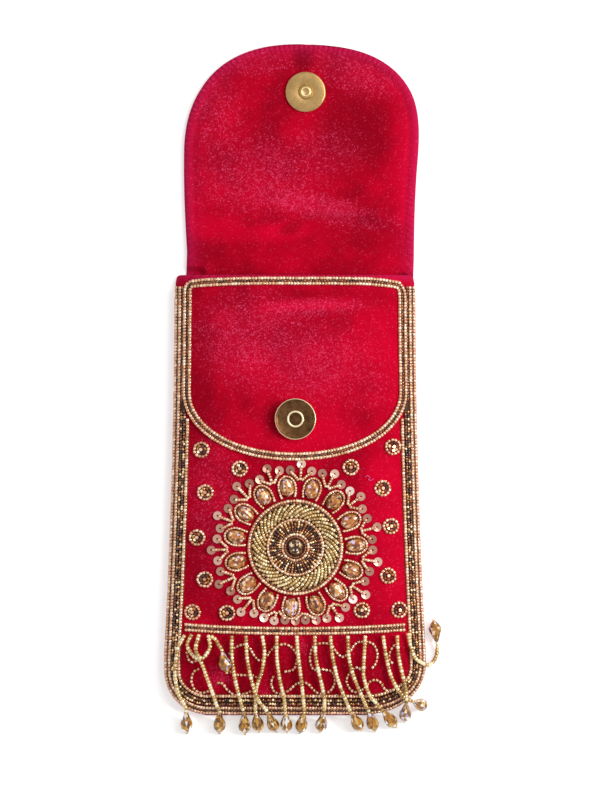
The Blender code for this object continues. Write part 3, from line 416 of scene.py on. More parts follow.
def shoulder(distance):
    """0 at a seam, rising to 1 where the padding is full."""
    reach = min(max(distance, 0.0) / CROWN_REACH, 1.0)
    return sqrt(1 - (1 - reach) ** 2)


def front_height(x, rise):
    side = -1 if x < 0 else 1
    fullness = shoulder(fabric_half_width(rise, side) - abs(x)) * shoulder(rise - EDGE_OVERHANG)
    into_lip = max(rise - MOUTH_RISE + LIP_REACH, 0.0) / LIP_REACH
    return SEAM_HEIGHT + (CROWN_HEIGHT - SEAM_HEIGHT) * fullness * (1 - LIP_DROP * into_lip**2)


def front_square(x, rise):
    """The direction square to the front's face."""
    step = 0.05
    inward = -step if x > 0 else step
    up = step if rise < MOUTH_RISE / 2 else -step
    here = front_height(x, rise)
    slope_x = (front_height(x + inward, rise) - here) / inward
    slope_rise = (front_height(x, rise + up) - here) / up
    return Vector((-slope_x, -slope_rise, 1.0)).normalized()


def off_front(x, rise, lift):
    """A place this far out from the front's face, square to it."""
    return Vector((x, rise, front_height(x, rise))) + front_square(x, rise) * lift


def flap_place(s, t):
    """A plan place on the flap: s from the fold line, t across from the flap's middle."""
    x = FOLD_X + ALONG_FLAP[0] * s + ACROSS_FLAP[0] * t
    rise = BACK_LENGTH + ALONG_FLAP[1] * s + ACROSS_FLAP[1] * t
    return (x, rise)


# Making pieces


def piece(name, points, faces, finish, stands_for=(), body="pouch", smooth=True, sharp=None, slot=None):
    """A closed mesh from points in millimetres on the pouch, riding on its body. It has one finish or
    two. Its colour slot, the first finish's unless another is named, is worked out but not used."""
    names = finish if isinstance(finish, tuple) else (finish,)
    slot = slot or SLOTS[names[0]]
    mesh = bpy.data.meshes.new(name)
    mesh.from_pydata((np.asarray(points, float) - (0, BACK_LENGTH / 2, 0)) * MM, [], faces)
    bm = bmesh.new()
    bm.from_mesh(mesh)
    bmesh.ops.recalc_face_normals(bm, faces=bm.faces[:])
    bm.to_mesh(mesh)
    bm.free()
    mesh.polygons.foreach_set("use_smooth", [smooth] * len(mesh.polygons))
    if sharp:
        mesh.set_sharp_from_angle(angle=radians(sharp))
    for one in names:
        mesh.materials.append(finishes[one])
    made = bpy.data.objects.new(name, mesh)
    bpy.context.scene.collection.objects.link(made)
    if stands_for:
        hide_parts(*stands_for)
    if body:
        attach(made, body)
    return made


def mark(made, name, values, kind="FLOAT", where="POINT"):
    """Keeps a value for each point or face, for its finish to read."""
    field = "vector" if kind == "FLOAT_VECTOR" else "value"
    made.data.attributes.new(name, kind, where).data.foreach_set(field, values)


def band(a, b, sides):
    """Faces with four corners between two rings of points, which start at a and b."""
    return [(a + i, a + (i + 1) % sides, b + (i + 1) % sides, b + i) for i in range(sides)]


def cut_band(a, b, sides, odd):
    """Facets with three corners between two staggered rings of points."""
    faces = []
    for i in range(sides):
        j = (i + 1) % sides
        if odd:
            faces += [(a + i, a + j, b + j), (a + i, b + j, b + i)]
        else:
            faces += [(a + i, a + j, b + i), (a + j, b + j, b + i)]
    return faces


def hose_faces(rings, sides):
    """The faces of a hose of this many rings of points, closed at both ends."""
    faces = [face for n in range(rings - 1) for face in band(n * sides, (n + 1) * sides, sides)]
    last = (rings - 1) * sides
    return faces + [tuple(range(sides)), tuple(last + i for i in reversed(range(sides)))]


def around(steps):
    """Even turns of a full circle."""
    return [2 * pi * i / steps for i in range(steps)]


def lathe(profile, steps):
    """Points and faces of a closed profile of (radius, height), turned round the origin."""
    turns = around(steps)
    points = [(radius * cos(a), radius * sin(a), height) for radius, height in profile for a in turns]
    count = len(profile)
    faces = [face for n in range(count) for face in band(n * steps, (n + 1) % count * steps, steps)]
    return points, faces


def turned_form(profile, steps):
    """Points and faces of a profile of (radius, height) that starts and ends on its axis."""
    turns = around(steps)
    points = [(0.0, 0.0, profile[0][1])]
    points += [(r * cos(a), r * sin(a), height) for r, height in profile[1:-1] for a in turns]
    points.append((0.0, 0.0, profile[-1][1]))
    last = len(points) - 1 - steps
    faces = [face for start in range(1, last, steps) for face in band(start, start + steps, steps)]
    for i in range(steps):
        j = (i + 1) % steps
        faces += [(0, 1 + i, 1 + j), (last + i, len(points) - 1, last + j)]
    return np.array(points), faces


# A rolled glass seed bead, and a cut one with flat sides, both of radius 1 and length 1
ROUND_PROFILE = ((0, -0.5), (0.72, -0.5), (0.97, -0.36), (1.0, 0.0), (0.97, 0.36), (0.72, 0.5), (0, 0.5))
CUT_PROFILE = ((0, -0.5), (0.8, -0.5), (1.0, -0.32), (1.0, 0.32), (0.8, 0.5), (0, 0.5))
ROUND_BEAD = turned_form(ROUND_PROFILE, 8)
CUT_BEAD = turned_form(CUT_PROFILE, 6)


def frames_along(directions):
    """Two unit vectors square to each direction, and the direction itself."""
    along = directions / np.linalg.norm(directions, axis=1, keepdims=True)
    helper = np.where(np.abs(along[:, 2:3]) < 0.9, [[0.0, 0.0, 1.0]], [[1.0, 0.0, 0.0]])
    first = np.cross(helper, along)
    first /= np.linalg.norm(first, axis=1, keepdims=True)
    return first, np.cross(along, first), along


def bead_cluster(beads, shape):
    """Points, faces and a tone for each point, from beads of (middle, direction, radius, length)."""
    base, base_faces = shape
    middles = np.array([bead[0] for bead in beads], float)
    first, second, along = frames_along(np.array([bead[1] for bead in beads], float))
    radii = np.array([bead[2] for bead in beads])[:, None, None]
    lengths = np.array([bead[3] for bead in beads])[:, None, None]
    spin = np.array([chance.random() * pi for _ in beads])[:, None, None]
    x = base[None, :, 0:1] * np.cos(spin) - base[None, :, 1:2] * np.sin(spin)
    y = base[None, :, 0:1] * np.sin(spin) + base[None, :, 1:2] * np.cos(spin)
    points = middles[:, None] + first[:, None] * x * radii + second[:, None] * y * radii
    points = points + along[:, None] * base[None, :, 2:3] * lengths
    count = len(base)
    faces = [tuple(i + n * count for i in face) for n in range(len(beads)) for face in base_faces]
    tones = np.repeat([chance.random() for _ in beads], count)
    return points.reshape(-1, 3), faces, tones


def beaded(name, beads, finish, stands_for=(), shape=ROUND_BEAD, slot=None):
    """One piece of many beads."""
    points, faces, tones = bead_cluster(beads, shape)
    made = piece(name, points, faces, finish, stands_for, smooth=shape is not CUT_BEAD, slot=slot)
    mark(made, "bead_tone", tones)
    return made


def evenly(route, pitch):
    """Middles about a pitch apart along a route of places, with the direction of travel at each."""
    places = np.array([tuple(place) for place in route], float)
    reach = np.concatenate([[0.0], np.cumsum(np.linalg.norm(np.diff(places, axis=0), axis=1))])
    count = max(1, round(reach[-1] / pitch))
    at = (np.arange(count) + 0.5) * reach[-1] / count
    middles, after, before = (
        np.stack([np.interp(at + shift, reach, column) for column in places.T], axis=1)
        for shift in (0.0, pitch / 2, -pitch / 2)
    )
    return middles, after - before


def sewn_row(route, radius=BEAD_RADIUS, length=BEAD_LENGTH, pitch=BEAD_PITCH, lift=None, wander=0.06,
             turn=0.0):
    """Beads sewn along a plan route on the front, each a little out of line. turn slants them in turn."""
    lift = radius * 0.9 if lift is None else lift
    middles, travel = evenly(route, pitch)
    beads = []
    for number, ((x, rise), (dx, dr)) in enumerate(zip(middles, travel)):
        x += chance.uniform(-wander, wander)
        rise += chance.uniform(-wander, wander)
        slant = turn * (1 if number % 2 else -1) + chance.uniform(-0.09, 0.09)
        tx = dx * cos(slant) - dr * sin(slant)
        tr = dx * sin(slant) + dr * cos(slant)
        start = off_front(x - tx * 0.5, rise - tr * 0.5, lift)
        end = off_front(x + tx * 0.5, rise + tr * 0.5, lift)
        size = chance.uniform(0.93, 1.06)
        beads.append(((start + end) / 2, end - start, radius * size, length * chance.uniform(0.94, 1.05)))
    return beads


def ring_route(radius, middle=MEDALLION, steps=96, start=0.0, end=2 * pi):
    turns = [start + (end - start) * i / steps for i in range(steps + 1)]
    return [(middle[0] + radius * sin(a), middle[1] + radius * cos(a)) for a in turns]


# Finishes


def begin(name):
    """A new material, its node tree and its shader."""
    made = bpy.data.materials.new(name)
    made.use_nodes = True
    return made, made.node_tree, made.node_tree.nodes["Principled BSDF"]


def in_millimetres(tree):
    """Places on the pouch in millimetres, for patterns at their real scale."""
    place = put(tree, "TexCoord", out="Object")
    return put(tree, "VectorMath", {0: place, 1: (1000, 1000, 1000)}, operation="MULTIPLY")


# Painted light and shade on the velvet, as patches of x, rise, half width, half height, turn in degrees and
# strength.
# The first table paints highlights as pale grains, the second paints shade on pressed pile and creases, and
# the third paints a red glow where smooth pile catches the light.
BRUSHED_HIGHLIGHTS = (
    (4, 225.5, 46, 9, -14, 0.9), (-16, 238, 40, 26, 0, 0.55), (12, 248, 26, 16, 0, 0.4),
    (-34, 262, 16, 30, 0, 0.45), (26, 282, 26, 12, -20, 0.55), (-18, 287, 24, 9, 0, 0.4),
    (30, 219, 24, 7, -8, 0.4), (5, 179.3, 38, 6, 3, 0.8), (-20, 166, 36, 30, 0, 0.6),
    (8, 156, 38, 26, 0, 0.55), (30, 146, 18, 16, 0, 0.3), (-36, 96, 16, 44, 0, 0.4),
    (-33, 18.5, 9, 6.5, 0, 0.8), (-12.3, 11.4, 8, 5, 0, 0.3), (3.1, 31, 7, 5, 0, 0.5),
)
PRESSED_SHADE = (
    (24, 258, 24, 30, -12, 0.75), (3.5, 289, 8, 11, 0, 1), (-2, 287, 60, 9, 0, 0.3),
    (30, 212, 34, 11, -6, 0.45), (-1.5, 214.5, 8, 4.5, 20, 0.6), (-40, 204, 16, 9, 0, 0.4),
    (-12, 246, 14, 18, 0, 0.35), (-42, 150, 11, 60, 0, 0.4), (0, 168, 26, 9, 4, 0.3),
    (34, 184, 20, 6, 0, 0.35), (-26, 182, 24, 7, 0, 0.4), (0, 184.5, 60, 5, 0, 0.3),
    (-9, 131, 8, 13, 0, 0.9), (-38, 70, 14, 30, 0, 0.5), (0.2, 74.6, 44, 44, 0, 0.9),
    (2, 20, 80, 26, 0, 0.6),
)
# Painted light: a red glow where smooth pile catches the light
SMOOTH = (
    (-6, 213, 22, 6.5, 6, 0.8), (-34, 214, 18, 10, 0, 0.5), (51, 238, 11, 44, 0, 0.6),
    (6, 181, 34, 4.5, 3, 0.8), (42, 160, 20, 46, 0, 0.4), (10, 152, 34, 24, 0, 0.35),
    (6, 124, 40, 12, 0, 0.6), (40, 84, 18, 50, 0, 0.4), (-33, 18.5, 12, 9, 0, 1),
    (-12.3, 11.4, 9, 6, 0, 0.6), (3.1, 31, 8, 6, 0, 0.3), (19.4, 28, 6, 7, 0, 0.4),
)


def patches(tree, place, table):
    """How strongly a place lies in any of these patches."""
    most = None
    for x, rise, wide, high, turn, strength in table:
        there = {"Vector": place, "Location": (x, rise - BACK_LENGTH / 2, 0)}
        there |= {"Rotation": (0, 0, radians(turn)), "Scale": (wide, high, 1000)}
        there = put(tree, "Mapping", there, vector_type="TEXTURE")
        inward = put(tree, "TexGradient", {"Vector": there}, "Fac", gradient_type="SPHERICAL")
        soft = {"Value": inward, "From Max": 0.75, "To Max": strength}
        spot = put(tree, "MapRange", soft, interpolation_type="SMOOTHSTEP")
        most = spot if most is None else put(tree, "Math", {0: most, 1: spot}, operation="MAXIMUM")
    return most


def crimson_velvet():
    """Woven cotton velvet, dyed crimson: a short upright pile, so it glows pink at grazing angles.
    Painted highlights add pale grains and a pink glow where the pile lies stroked over, painted shade
    darkens it where it is pressed and creased, painted light reddens smooth pile, and a painted pink sheen
    runs along the rolled edges."""
    made, tree, shader = begin("crimson_cotton_velvet")
    place = put(tree, "Attribute", out="Vector", attribute_name="rest_place")
    rim = put(tree, "Attribute", out="Fac", attribute_name="rim")
    # Masks for the painted highlights, painted shade and painted light on the pile
    brushed_highlight, pressed, smooth = (patches(tree, place, table) for table in (BRUSHED_HIGHLIGHTS, PRESSED_SHADE, SMOOTH))
    # Cloudy shading, about 20 mm across, from how the pile lies
    lie = put(tree, "TexNoise", {"Vector": place, "Scale": 1 / 20, "Detail": 4.0, "Roughness": 0.6})
    stops = ((0.34, "#A0001C"), (0.5, "#BA0022"), (0.66, "#CC0028"))
    shade = put(tree, "ValToRGB", {"Fac": lie}, stops=stops)
    # Painted highlights: pale glinting grains of pile lying over; real ones are 0.2 mm, drawn at about 0.5
    # mm so that they show
    grain = put(tree, "TexVoronoi", {"Vector": place, "Scale": 1 / 0.46}, "Color")
    lot = put(tree, "SeparateColor", {0: grain}).node.outputs
    # They gather in clumps about 3 mm across
    clump = put(tree, "TexNoise", {"Vector": place, "Scale": 1 / 3.2, "Detail": 3.0})
    many = put(tree, "Math", {0: brushed_highlight, 1: clump, 2: 0.07}, operation="MULTIPLY_ADD")
    near = put(tree, "Math", {0: lot[0], 1: many}, operation="ADD")
    picked = put(tree, "MapRange", {"Value": near, "From Min": 0.93, "From Max": 1.2, "To Max": 0.6})
    pale = put(tree, "Math", {0: picked, 1: lot[1]}, operation="MULTIPLY")
    painted_haze = put(tree, "Math", {0: brushed_highlight, 1: 0.11}, operation="MULTIPLY")
    # Painted light and shade: a red glow on smooth pile, dark on pressed pile, a pink sheen along the rim,
    # and pale glints and a pink glow on stroked pile
    tints = (
        (smooth, "#DC002E"), (pressed, "#8E0016"), (rim, "#C81C54"), (pale, "#FF5488"), (painted_haze, "#E02C60"),
    )
    for where, tint in tints:
        shade = put(tree, "Mix", {"Factor": where, 6: shade, 7: tint}, 2, data_type="RGBA")
    # The pile's own roughness, 0.7 mm across
    pile = put(tree, "TexNoise", {"Vector": place, "Scale": 1 / 0.7, "Detail": 2.0})
    bump = put(tree, "Bump", {"Height": pile, "Strength": 0.4, "Distance": 0.0003})
    # The seam draws the cloth into puckers along the edge, about 2 mm apart round the flap's tip
    away = put(tree, "VectorMath", {0: place, 1: (4.0, 142.0, 0.0)}, operation="SUBTRACT")
    apart = put(tree, "SeparateXYZ", {0: away}).node.outputs
    angle = put(tree, "Math", {0: apart["Y"], 1: apart["X"]}, operation="ARCTAN2")
    turns = put(tree, "Math", {0: angle, 1: 150.0}, operation="MULTIPLY")
    wave = put(tree, "Math", {0: turns}, operation="SINE")
    pucker = put(tree, "Math", {0: wave, 1: rim}, operation="MULTIPLY")
    puckered = {"Height": pucker, "Strength": 0.6, "Distance": 0.0005, "Normal": bump}
    feed(tree, shader, {"Base Color": shade, "Normal": put(tree, "Bump", puckered)})
    feed(tree, shader, {"Roughness": 0.9, "Specular IOR Level": 0.05})
    feed(tree, shader, {"Sheen Weight": 0.22, "Sheen Roughness": 0.3, "Sheen Tint": "#FF6E9A"})
    return made


def mark_velvet(made, points, gaps, strength, reach):
    """Keeps where each point lies at rest, and how near it is to an edge of the cloth."""
    rest = np.asarray(points, float) - (0, BACK_LENGTH / 2, 0)
    mark(made, "rest_place", rest.ravel(), "FLOAT_VECTOR")
    mark(made, "rim", strength * np.exp(-np.maximum(gaps, 0) / reach))


def lined_glass(name, shades, roughness, metallic, sparkle):
    """Glass seed beads with a metal lining: the lining gives the colour, the glass over it a
    sharp highlight. Each bead of a batch differs a little in shade."""
    made, tree, shader = begin(name)
    tone = put(tree, "Attribute", out="Fac", attribute_name="bead_tone")
    steps = [(0.08 + 0.84 * i / (len(shades) - 1), shade) for i, shade in enumerate(shades)]
    shade = put(tree, "ValToRGB", {"Fac": tone}, stops=steps)
    # Painted glints: random spots about 0.5 mm across lift each bead's colour towards its pale sparkle
    # colour
    glint_spots = put(tree, "TexNoise", {"Vector": in_millimetres(tree), "Scale": 1 / 0.5, "Detail": 1.0})
    glinted = {"Factor": glint_spots, 6: shade, 7: sparkle}
    glinted = put(tree, "Mix", glinted, 2, data_type="RGBA", blend_type="SOFT_LIGHT")
    feed(tree, shader, {"Base Color": glinted, "Roughness": roughness, "Metallic": metallic})
    feed(tree, shader, {"Coat Weight": 0.8, "Coat Roughness": 0.06})
    return made


def cut_glass(name, shades, size, coat, film):
    """Machine cut crystal glass with a foil back and a thin rainbow coat: each flat facet's colour is
    a painted reflection, its own bit of light, amber, brown, white or violet."""
    made, tree, shader = begin(name)
    tone = put(tree, "Attribute", out="Fac", attribute_name="facet_tone")
    cloud = put(tree, "TexNoise", {"Vector": in_millimetres(tree), "Scale": 1 / size, "Detail": 1.0})
    soft = put(tree, "Math", {0: cloud, 1: 0.2, 2: -0.1}, operation="MULTIPLY_ADD")
    mixed = put(tree, "Math", {0: tone, 1: soft}, operation="ADD")
    feed(tree, shader, {"Base Color": put(tree, "ValToRGB", {"Fac": mixed}, stops=shades)})
    feed(tree, shader, {"Roughness": 0.07, "IOR": 1.56, "Metallic": 0.35})
    feed(tree, shader, {"Coat Weight": coat, "Coat Roughness": 0.03})
    feed(tree, shader, {"Thin Film Thickness": film, "Thin Film IOR": 1.62})
    return made


def plated_brass(name, shades, roughness, middle, highlight_radii, highlight_shade):
    """Stamped steel with an antique brass plate, satin: darker in the flats, with painted highlights on the
    raised edges, which are bands of (inner radius, outer radius), with faint rings from the buffing wheel."""
    made, tree, shader = begin(name)
    place = in_millimetres(tree)
    away = put(tree, "VectorMath", {0: place, 1: (middle.x, middle.y, 0)}, operation="SUBTRACT")
    flat = put(tree, "VectorMath", {0: away, 1: (1, 1, 0)}, operation="MULTIPLY")
    far = put(tree, "VectorMath", {0: flat}, "Value", operation="LENGTH")
    # Blotches of tarnish, about 3 mm across
    blotch = put(tree, "TexNoise", {"Vector": place, "Scale": 1 / 3.2, "Detail": 5.0, "Roughness": 0.65})
    steps = [(0.3 + 0.4 * i / (len(shades) - 1), shade) for i, shade in enumerate(shades)]
    tarnish = put(tree, "ValToRGB", {"Fac": blotch}, stops=steps)
    # The bright bands of painted highlight, on a ramp over the plate's 10 mm from its middle, which fade out
    # over 0.15 mm
    span, fade = 10, 0.15
    stops = [(0.0, "#000000")]
    for inner, outer in highlight_radii:
        stops += [((inner - fade) / span, "#000000"), (inner / span, "#FFFFFF")]
        stops += [(outer / span, "#FFFFFF"), ((outer + fade) / span, "#000000")]
    share = put(tree, "Math", {0: far, 1: 1 / span}, operation="MULTIPLY")
    highlight_bands = put(tree, "ValToRGB", {"Fac": share}, stops=stops)
    plate = put(tree, "Mix", {"Factor": highlight_bands, 6: tarnish, 7: highlight_shade}, 2, data_type="RGBA")
    # Rings from the buffing wheel, 0.25 mm apart
    rings = put(tree, "TexNoise", {"W": far, "Scale": 1 / 0.25}, noise_dimensions="1D")
    bump = put(tree, "Bump", {"Height": rings, "Strength": 0.25, "Distance": 0.00005})
    feed(tree, shader, {"Base Color": plate, "Normal": bump, "Metallic": 1.0, "Roughness": roughness})
    return made


def pressed_sequin():
    """Stamped plastic film with a rose gold metal coat: half a mirror, white where it flashes."""
    made, tree, shader = begin("rose_gold_sequin_film")
    tone = put(tree, "Attribute", out="Fac", attribute_name="bead_tone")
    # The palest tones are painted flashes: some sequins are coloured near white for the light they send back
    stops = ((0.1, "#9A624E"), (0.5, "#C28E78"), (0.8, "#E0BAA6"), (0.95, "#FFF2EA"))
    shade = put(tree, "ValToRGB", {"Fac": tone}, stops=stops)
    # Shallow ripples from the press, 0.8 mm apart
    ripples = put(tree, "TexNoise", {"Vector": in_millimetres(tree), "Scale": 1 / 0.8})
    bump = put(tree, "Bump", {"Height": ripples, "Strength": 0.2, "Distance": 0.0002})
    feed(tree, shader, {"Base Color": shade, "Normal": bump})
    feed(tree, shader, {"Roughness": 0.18, "Metallic": 0.5, "Coat Weight": 0.6})
    return made


def twisted_thread(name, shade, dark):
    """Cotton sewing thread, dyed and twisted: matt, with fine slanted turns about 0.45 mm apart."""
    made, tree, shader = begin(name)
    place = {"Vector": in_millimetres(tree), "Scale": 0.8, "Distortion": 1.5}
    turns = put(tree, "TexWave", place, "Fac", bands_direction="DIAGONAL")
    body = put(tree, "Mix", {"Factor": turns, 6: dark, 7: shade}, 2, data_type="RGBA")
    feed(tree, shader, {"Base Color": body, "Roughness": 0.8})
    return made


def inner_metal(name, shade, dark, roughness, metallic):
    """Plain hidden metal of the snap, such as zinc plated steel or a sintered magnet, with a
    fine grain from the press, 0.4 mm across."""
    made, tree, shader = begin(name)
    grain = put(tree, "TexNoise", {"Vector": in_millimetres(tree), "Scale": 1 / 0.4, "Detail": 3.0})
    body = put(tree, "Mix", {"Factor": grain, 6: dark, 7: shade}, 2, data_type="RGBA")
    feed(tree, shader, {"Base Color": body, "Roughness": roughness, "Metallic": metallic})
    return made


def facet_tones(made, facets_each=1000):
    """Gives each facet a tone of its own, around the tone of its stone."""
    tones = []
    for number in range(len(made.data.polygons)):
        if number % facets_each == 0:
            stone = chance.uniform(-0.12, 0.12)
        tones.append(min(1.0, max(0.0, chance.random() + stone)))
    mark(made, "facet_tone", tones, where="FACE")
    return made


# Fringe


def strand_places(number):
    """The middle of one strand, from over the header to just short of its drop."""
    lifts = CROSSING_LIFTS.get(number, {})
    places = [off_front(*foot, STRAND_LIFT + lifts.get(i, 0.0)) for i, foot in enumerate(STRANDS[number])]
    if number == SIDE_STRAND:
        places += [Vector(place) for place in SIDE_STRAND_TABLE_ROUTE]
    top, tip = (Vector(end) for end in DROPS[number])
    places.append(top + (top - tip).normalized() * DROP_CLEARANCE)
    return smooth_route(smooth_route(places, STRAND_STEP), 1.0)


def thread_form(path, radius, sides=6):
    """Points and faces of a thin thread along a path."""
    places = np.array([tuple(place) for place in path], float)
    first, second, _ = frames_along(np.gradient(places, axis=0))
    rings = [places + radius * (cos(a) * first + sin(a) * second) for a in around(sides)]
    return np.stack(rings, axis=1).reshape(-1, 3), hose_faces(len(places), sides)


def drop_form(top, tip):
    """A pear shaped drop cut in staggered facets, from its tip to its top."""
    axis = Vector(top) - Vector(tip)
    length = axis.length
    sides = DROP_SIDES
    first, second, along = (v[0] for v in frames_along(np.array([tuple(axis)])))
    base = np.array(tuple(tip))
    points = [base]
    for ring, (s, r) in enumerate(DROP_SHAPE):
        for i in range(sides):
            turn = 2 * pi * (i + 0.5 * (ring % 2)) / sides
            across = cos(turn) * first + sin(turn) * second
            points.append(base + along * length * s + across * DROP_RADIUS * r)
    points.append(base + along * length * 0.97)
    faces = []
    for ring in range(len(DROP_SHAPE) - 1):
        faces += cut_band(1 + ring * sides, 1 + (ring + 1) * sides, sides, ring % 2)
    last = 1 + (len(DROP_SHAPE) - 1) * sides
    for i in range(sides):
        j = (i + 1) % sides
        faces.append((0, 1 + j, 1 + i))
        faces.append((last + i, last + j, len(points) - 1))
    return np.array(points), faces, base, along, length


def make_fringe():
    """Fifteen strands of seed beads that hang from the header, each ending in a cut glass drop."""
    for number, (top, tip) in enumerate(DROPS):
        digits = f"{number + 1:02d}"
        path = strand_places(number)
        middles, travel = evenly(path, STRAND_PITCH)
        radius = STRAND_DIAMETER / 2
        beads = [(m, t, radius * chance.uniform(0.86, 1.0), STRAND_BEAD) for m, t in zip(middles, travel)]
        points, faces, tones = bead_cluster(beads, ROUND_BEAD)
        thread_points, thread_faces = thread_form(path, 0.3)
        both = gather(((points, faces), (thread_points, thread_faces)))
        nodes = (f"strand_{digits}",)
        strand = piece(f"strand_beads_{digits}", *both, ("champagne", "thread"), nodes)
        mark(strand, "bead_tone", np.concatenate([tones, np.zeros(len(thread_points))]))
        slots = [0] * len(faces) + [1] * len(thread_faces)
        strand.data.polygons.foreach_set("material_index", slots)
        points, faces, base, along, length = drop_form(top, tip)
        nodes = (f"drop_{digits}",)
        glass = facet_tones(piece(f"glass_drop_{digits}", points, faces, "drop", nodes, smooth=False))
        ends = [(base + along * 0.15, along, 0.62, 0.9), (base + along * (length + 0.2), along, 0.85, 1.1)]
        ends = beaded(f"drop_end_beads_{digits}", ends, "champagne")
        centreline = [world(*place) for place in path]
        length = sum((b - a).length for a, b in zip(centreline, centreline[1:]))


# Velvet


def crinkle(x, rise, size, seed):
    """A smooth random value near 0, about one wave in this many millimetres."""
    return noise.noise(Vector((x / size, rise / size, seed)))


def ripple(x, rise):
    """How far the front's cloth stands off its even shape: soft puckers, drawn in along the rows."""
    return 0.28 * crinkle(x, rise, 17.0, 3.1) + 0.1 * crinkle(x, rise, 5.0, 8.7)


def front_skin(x, rise, depth):
    """The place on a skin this deep inside the front that answers to (x, rise) on its face."""
    wide = 1 - depth / fabric_half_width(rise, -1 if x < 0 else 1)
    long = 1 - depth / (MOUTH_RISE - EDGE_OVERHANG)
    high = 1 - depth / (CROWN_HEIGHT - SEAM_HEIGHT)
    height = SEAM_HEIGHT + (front_height(x, rise) - SEAM_HEIGHT) * high
    return (x * wide, MOUTH_RISE - (MOUTH_RISE - rise) * long, height)


def make_front():
    """The padded front: its face, the rolled lip of the mouth and the lining inside."""
    rows, columns, lip_steps, lip_reach = 150, 96, 7, 1.8
    long = MOUTH_RISE - lip_reach - EDGE_OVERHANG
    rises = [EDGE_OVERHANG + long * (i / rows) ** 1.35 for i in range(rows + 1)]
    spreads = [sin(pi / 2 * (2 * i / columns - 1)) for i in range(columns + 1)]
    outer, inner = [], []
    for rise in rises:
        left, right = fabric_half_width(rise, -1), fabric_half_width(rise, 1)
        xs = [s * (right if s > 0 else left) for s in spreads]
        edge = [min(1.0, (1 - abs(s)) * 6) for s in spreads]
        outer.append([(x, rise, front_height(x, rise) + ripple(x, rise) * e) for x, e in zip(xs, edge)])
        inner.append([front_skin(x, rise, PADDED_WALL) for x in xs])
    lip = []
    for step in range(1, lip_steps):
        turn = pi * step / lip_steps
        row = []
        for out, within in zip(outer[-1], inner[-1]):
            half = (np.array(out) - np.array(within)) / 2
            middle = np.array(within) + half
            row.append(tuple(middle + half * cos(turn) + np.array((0, lip_reach * sin(turn), 0))))
        lip.append(row)
    grid = outer + lip + inner[::-1]
    width = columns + 1
    points = [place for row in grid for place in row]
    faces = []
    for r in range(len(grid)):
        after = (r + 1) % len(grid)
        for c in range(columns):
            faces.append((r * width + c, r * width + c + 1, after * width + c + 1, after * width + c))
    count = len(rises)
    total = len(grid)
    for side in (0, columns):
        for r in range(count - 1):
            faces.append((r * width + side, (r + 1) * width + side,
                          (total - 2 - r) * width + side, (total - 1 - r) * width + side))
        lip_rows = [(count - 1 + i) * width + side for i in range(lip_steps + 1)]
        faces.append(tuple(lip_rows))
    made = piece("velvet_front", points, faces, "velvet", ("front_panel", "front_lining"), sharp=75)
    gaps = [min(fabric_half_width(min(rise, MOUTH_RISE), -1 if x < 0 else 1) - abs(x), MOUTH_RISE - 1 - rise)
            for x, rise, _ in points]
    mark_velvet(made, points, np.array(gaps), 0.6, 1.6)


def half_across(reach):
    """Left and right ends, in plan, of the line across the back or the flap at this reach up it."""
    neck_start, neck_end = MOUTH_RISE - 9.0, MOUTH_RISE - 2.6
    if reach <= neck_start:
        return [(side * (fabric_half_width(reach, side) + EDGE_OVERHANG * 0.6), reach) for side in (-1, 1)]
    if reach >= neck_end:
        s = reach - BACK_LENGTH
        straight = FLAP_LENGTH - FLAP_TIP_HEIGHT
        half = FLAP_BASE_HALF + (FLAP_HALF_WIDTH - FLAP_BASE_HALF) * min(max(s, 0.0) / straight, 1.0)
        over = min(max(s - straight, 0.0) / FLAP_TIP_HEIGHT, 1.0)
        # The cloth lies a little to the left of true half way up, and its right shoulder is squarer
        bulge = 1.25 * sin(pi * min(max(s, 0.0) / 72, 1.0))
        ends = []
        for side, roundness in ((-1, TIP_ROUNDNESS), (1, TIP_ROUNDNESS + 0.22)):
            x, rise = flap_place(s, side * half * max(1 - over**roundness, 0.0) ** (1 / roundness))
            ends.append((x - bulge, rise))
        return ends
    share = ease((reach - neck_start) / (neck_end - neck_start))
    low, high = half_across(neck_start), half_across(neck_end)
    return [tuple(a + (b - a) * share for a, b in zip(p, q)) for p, q in zip(low, high)]


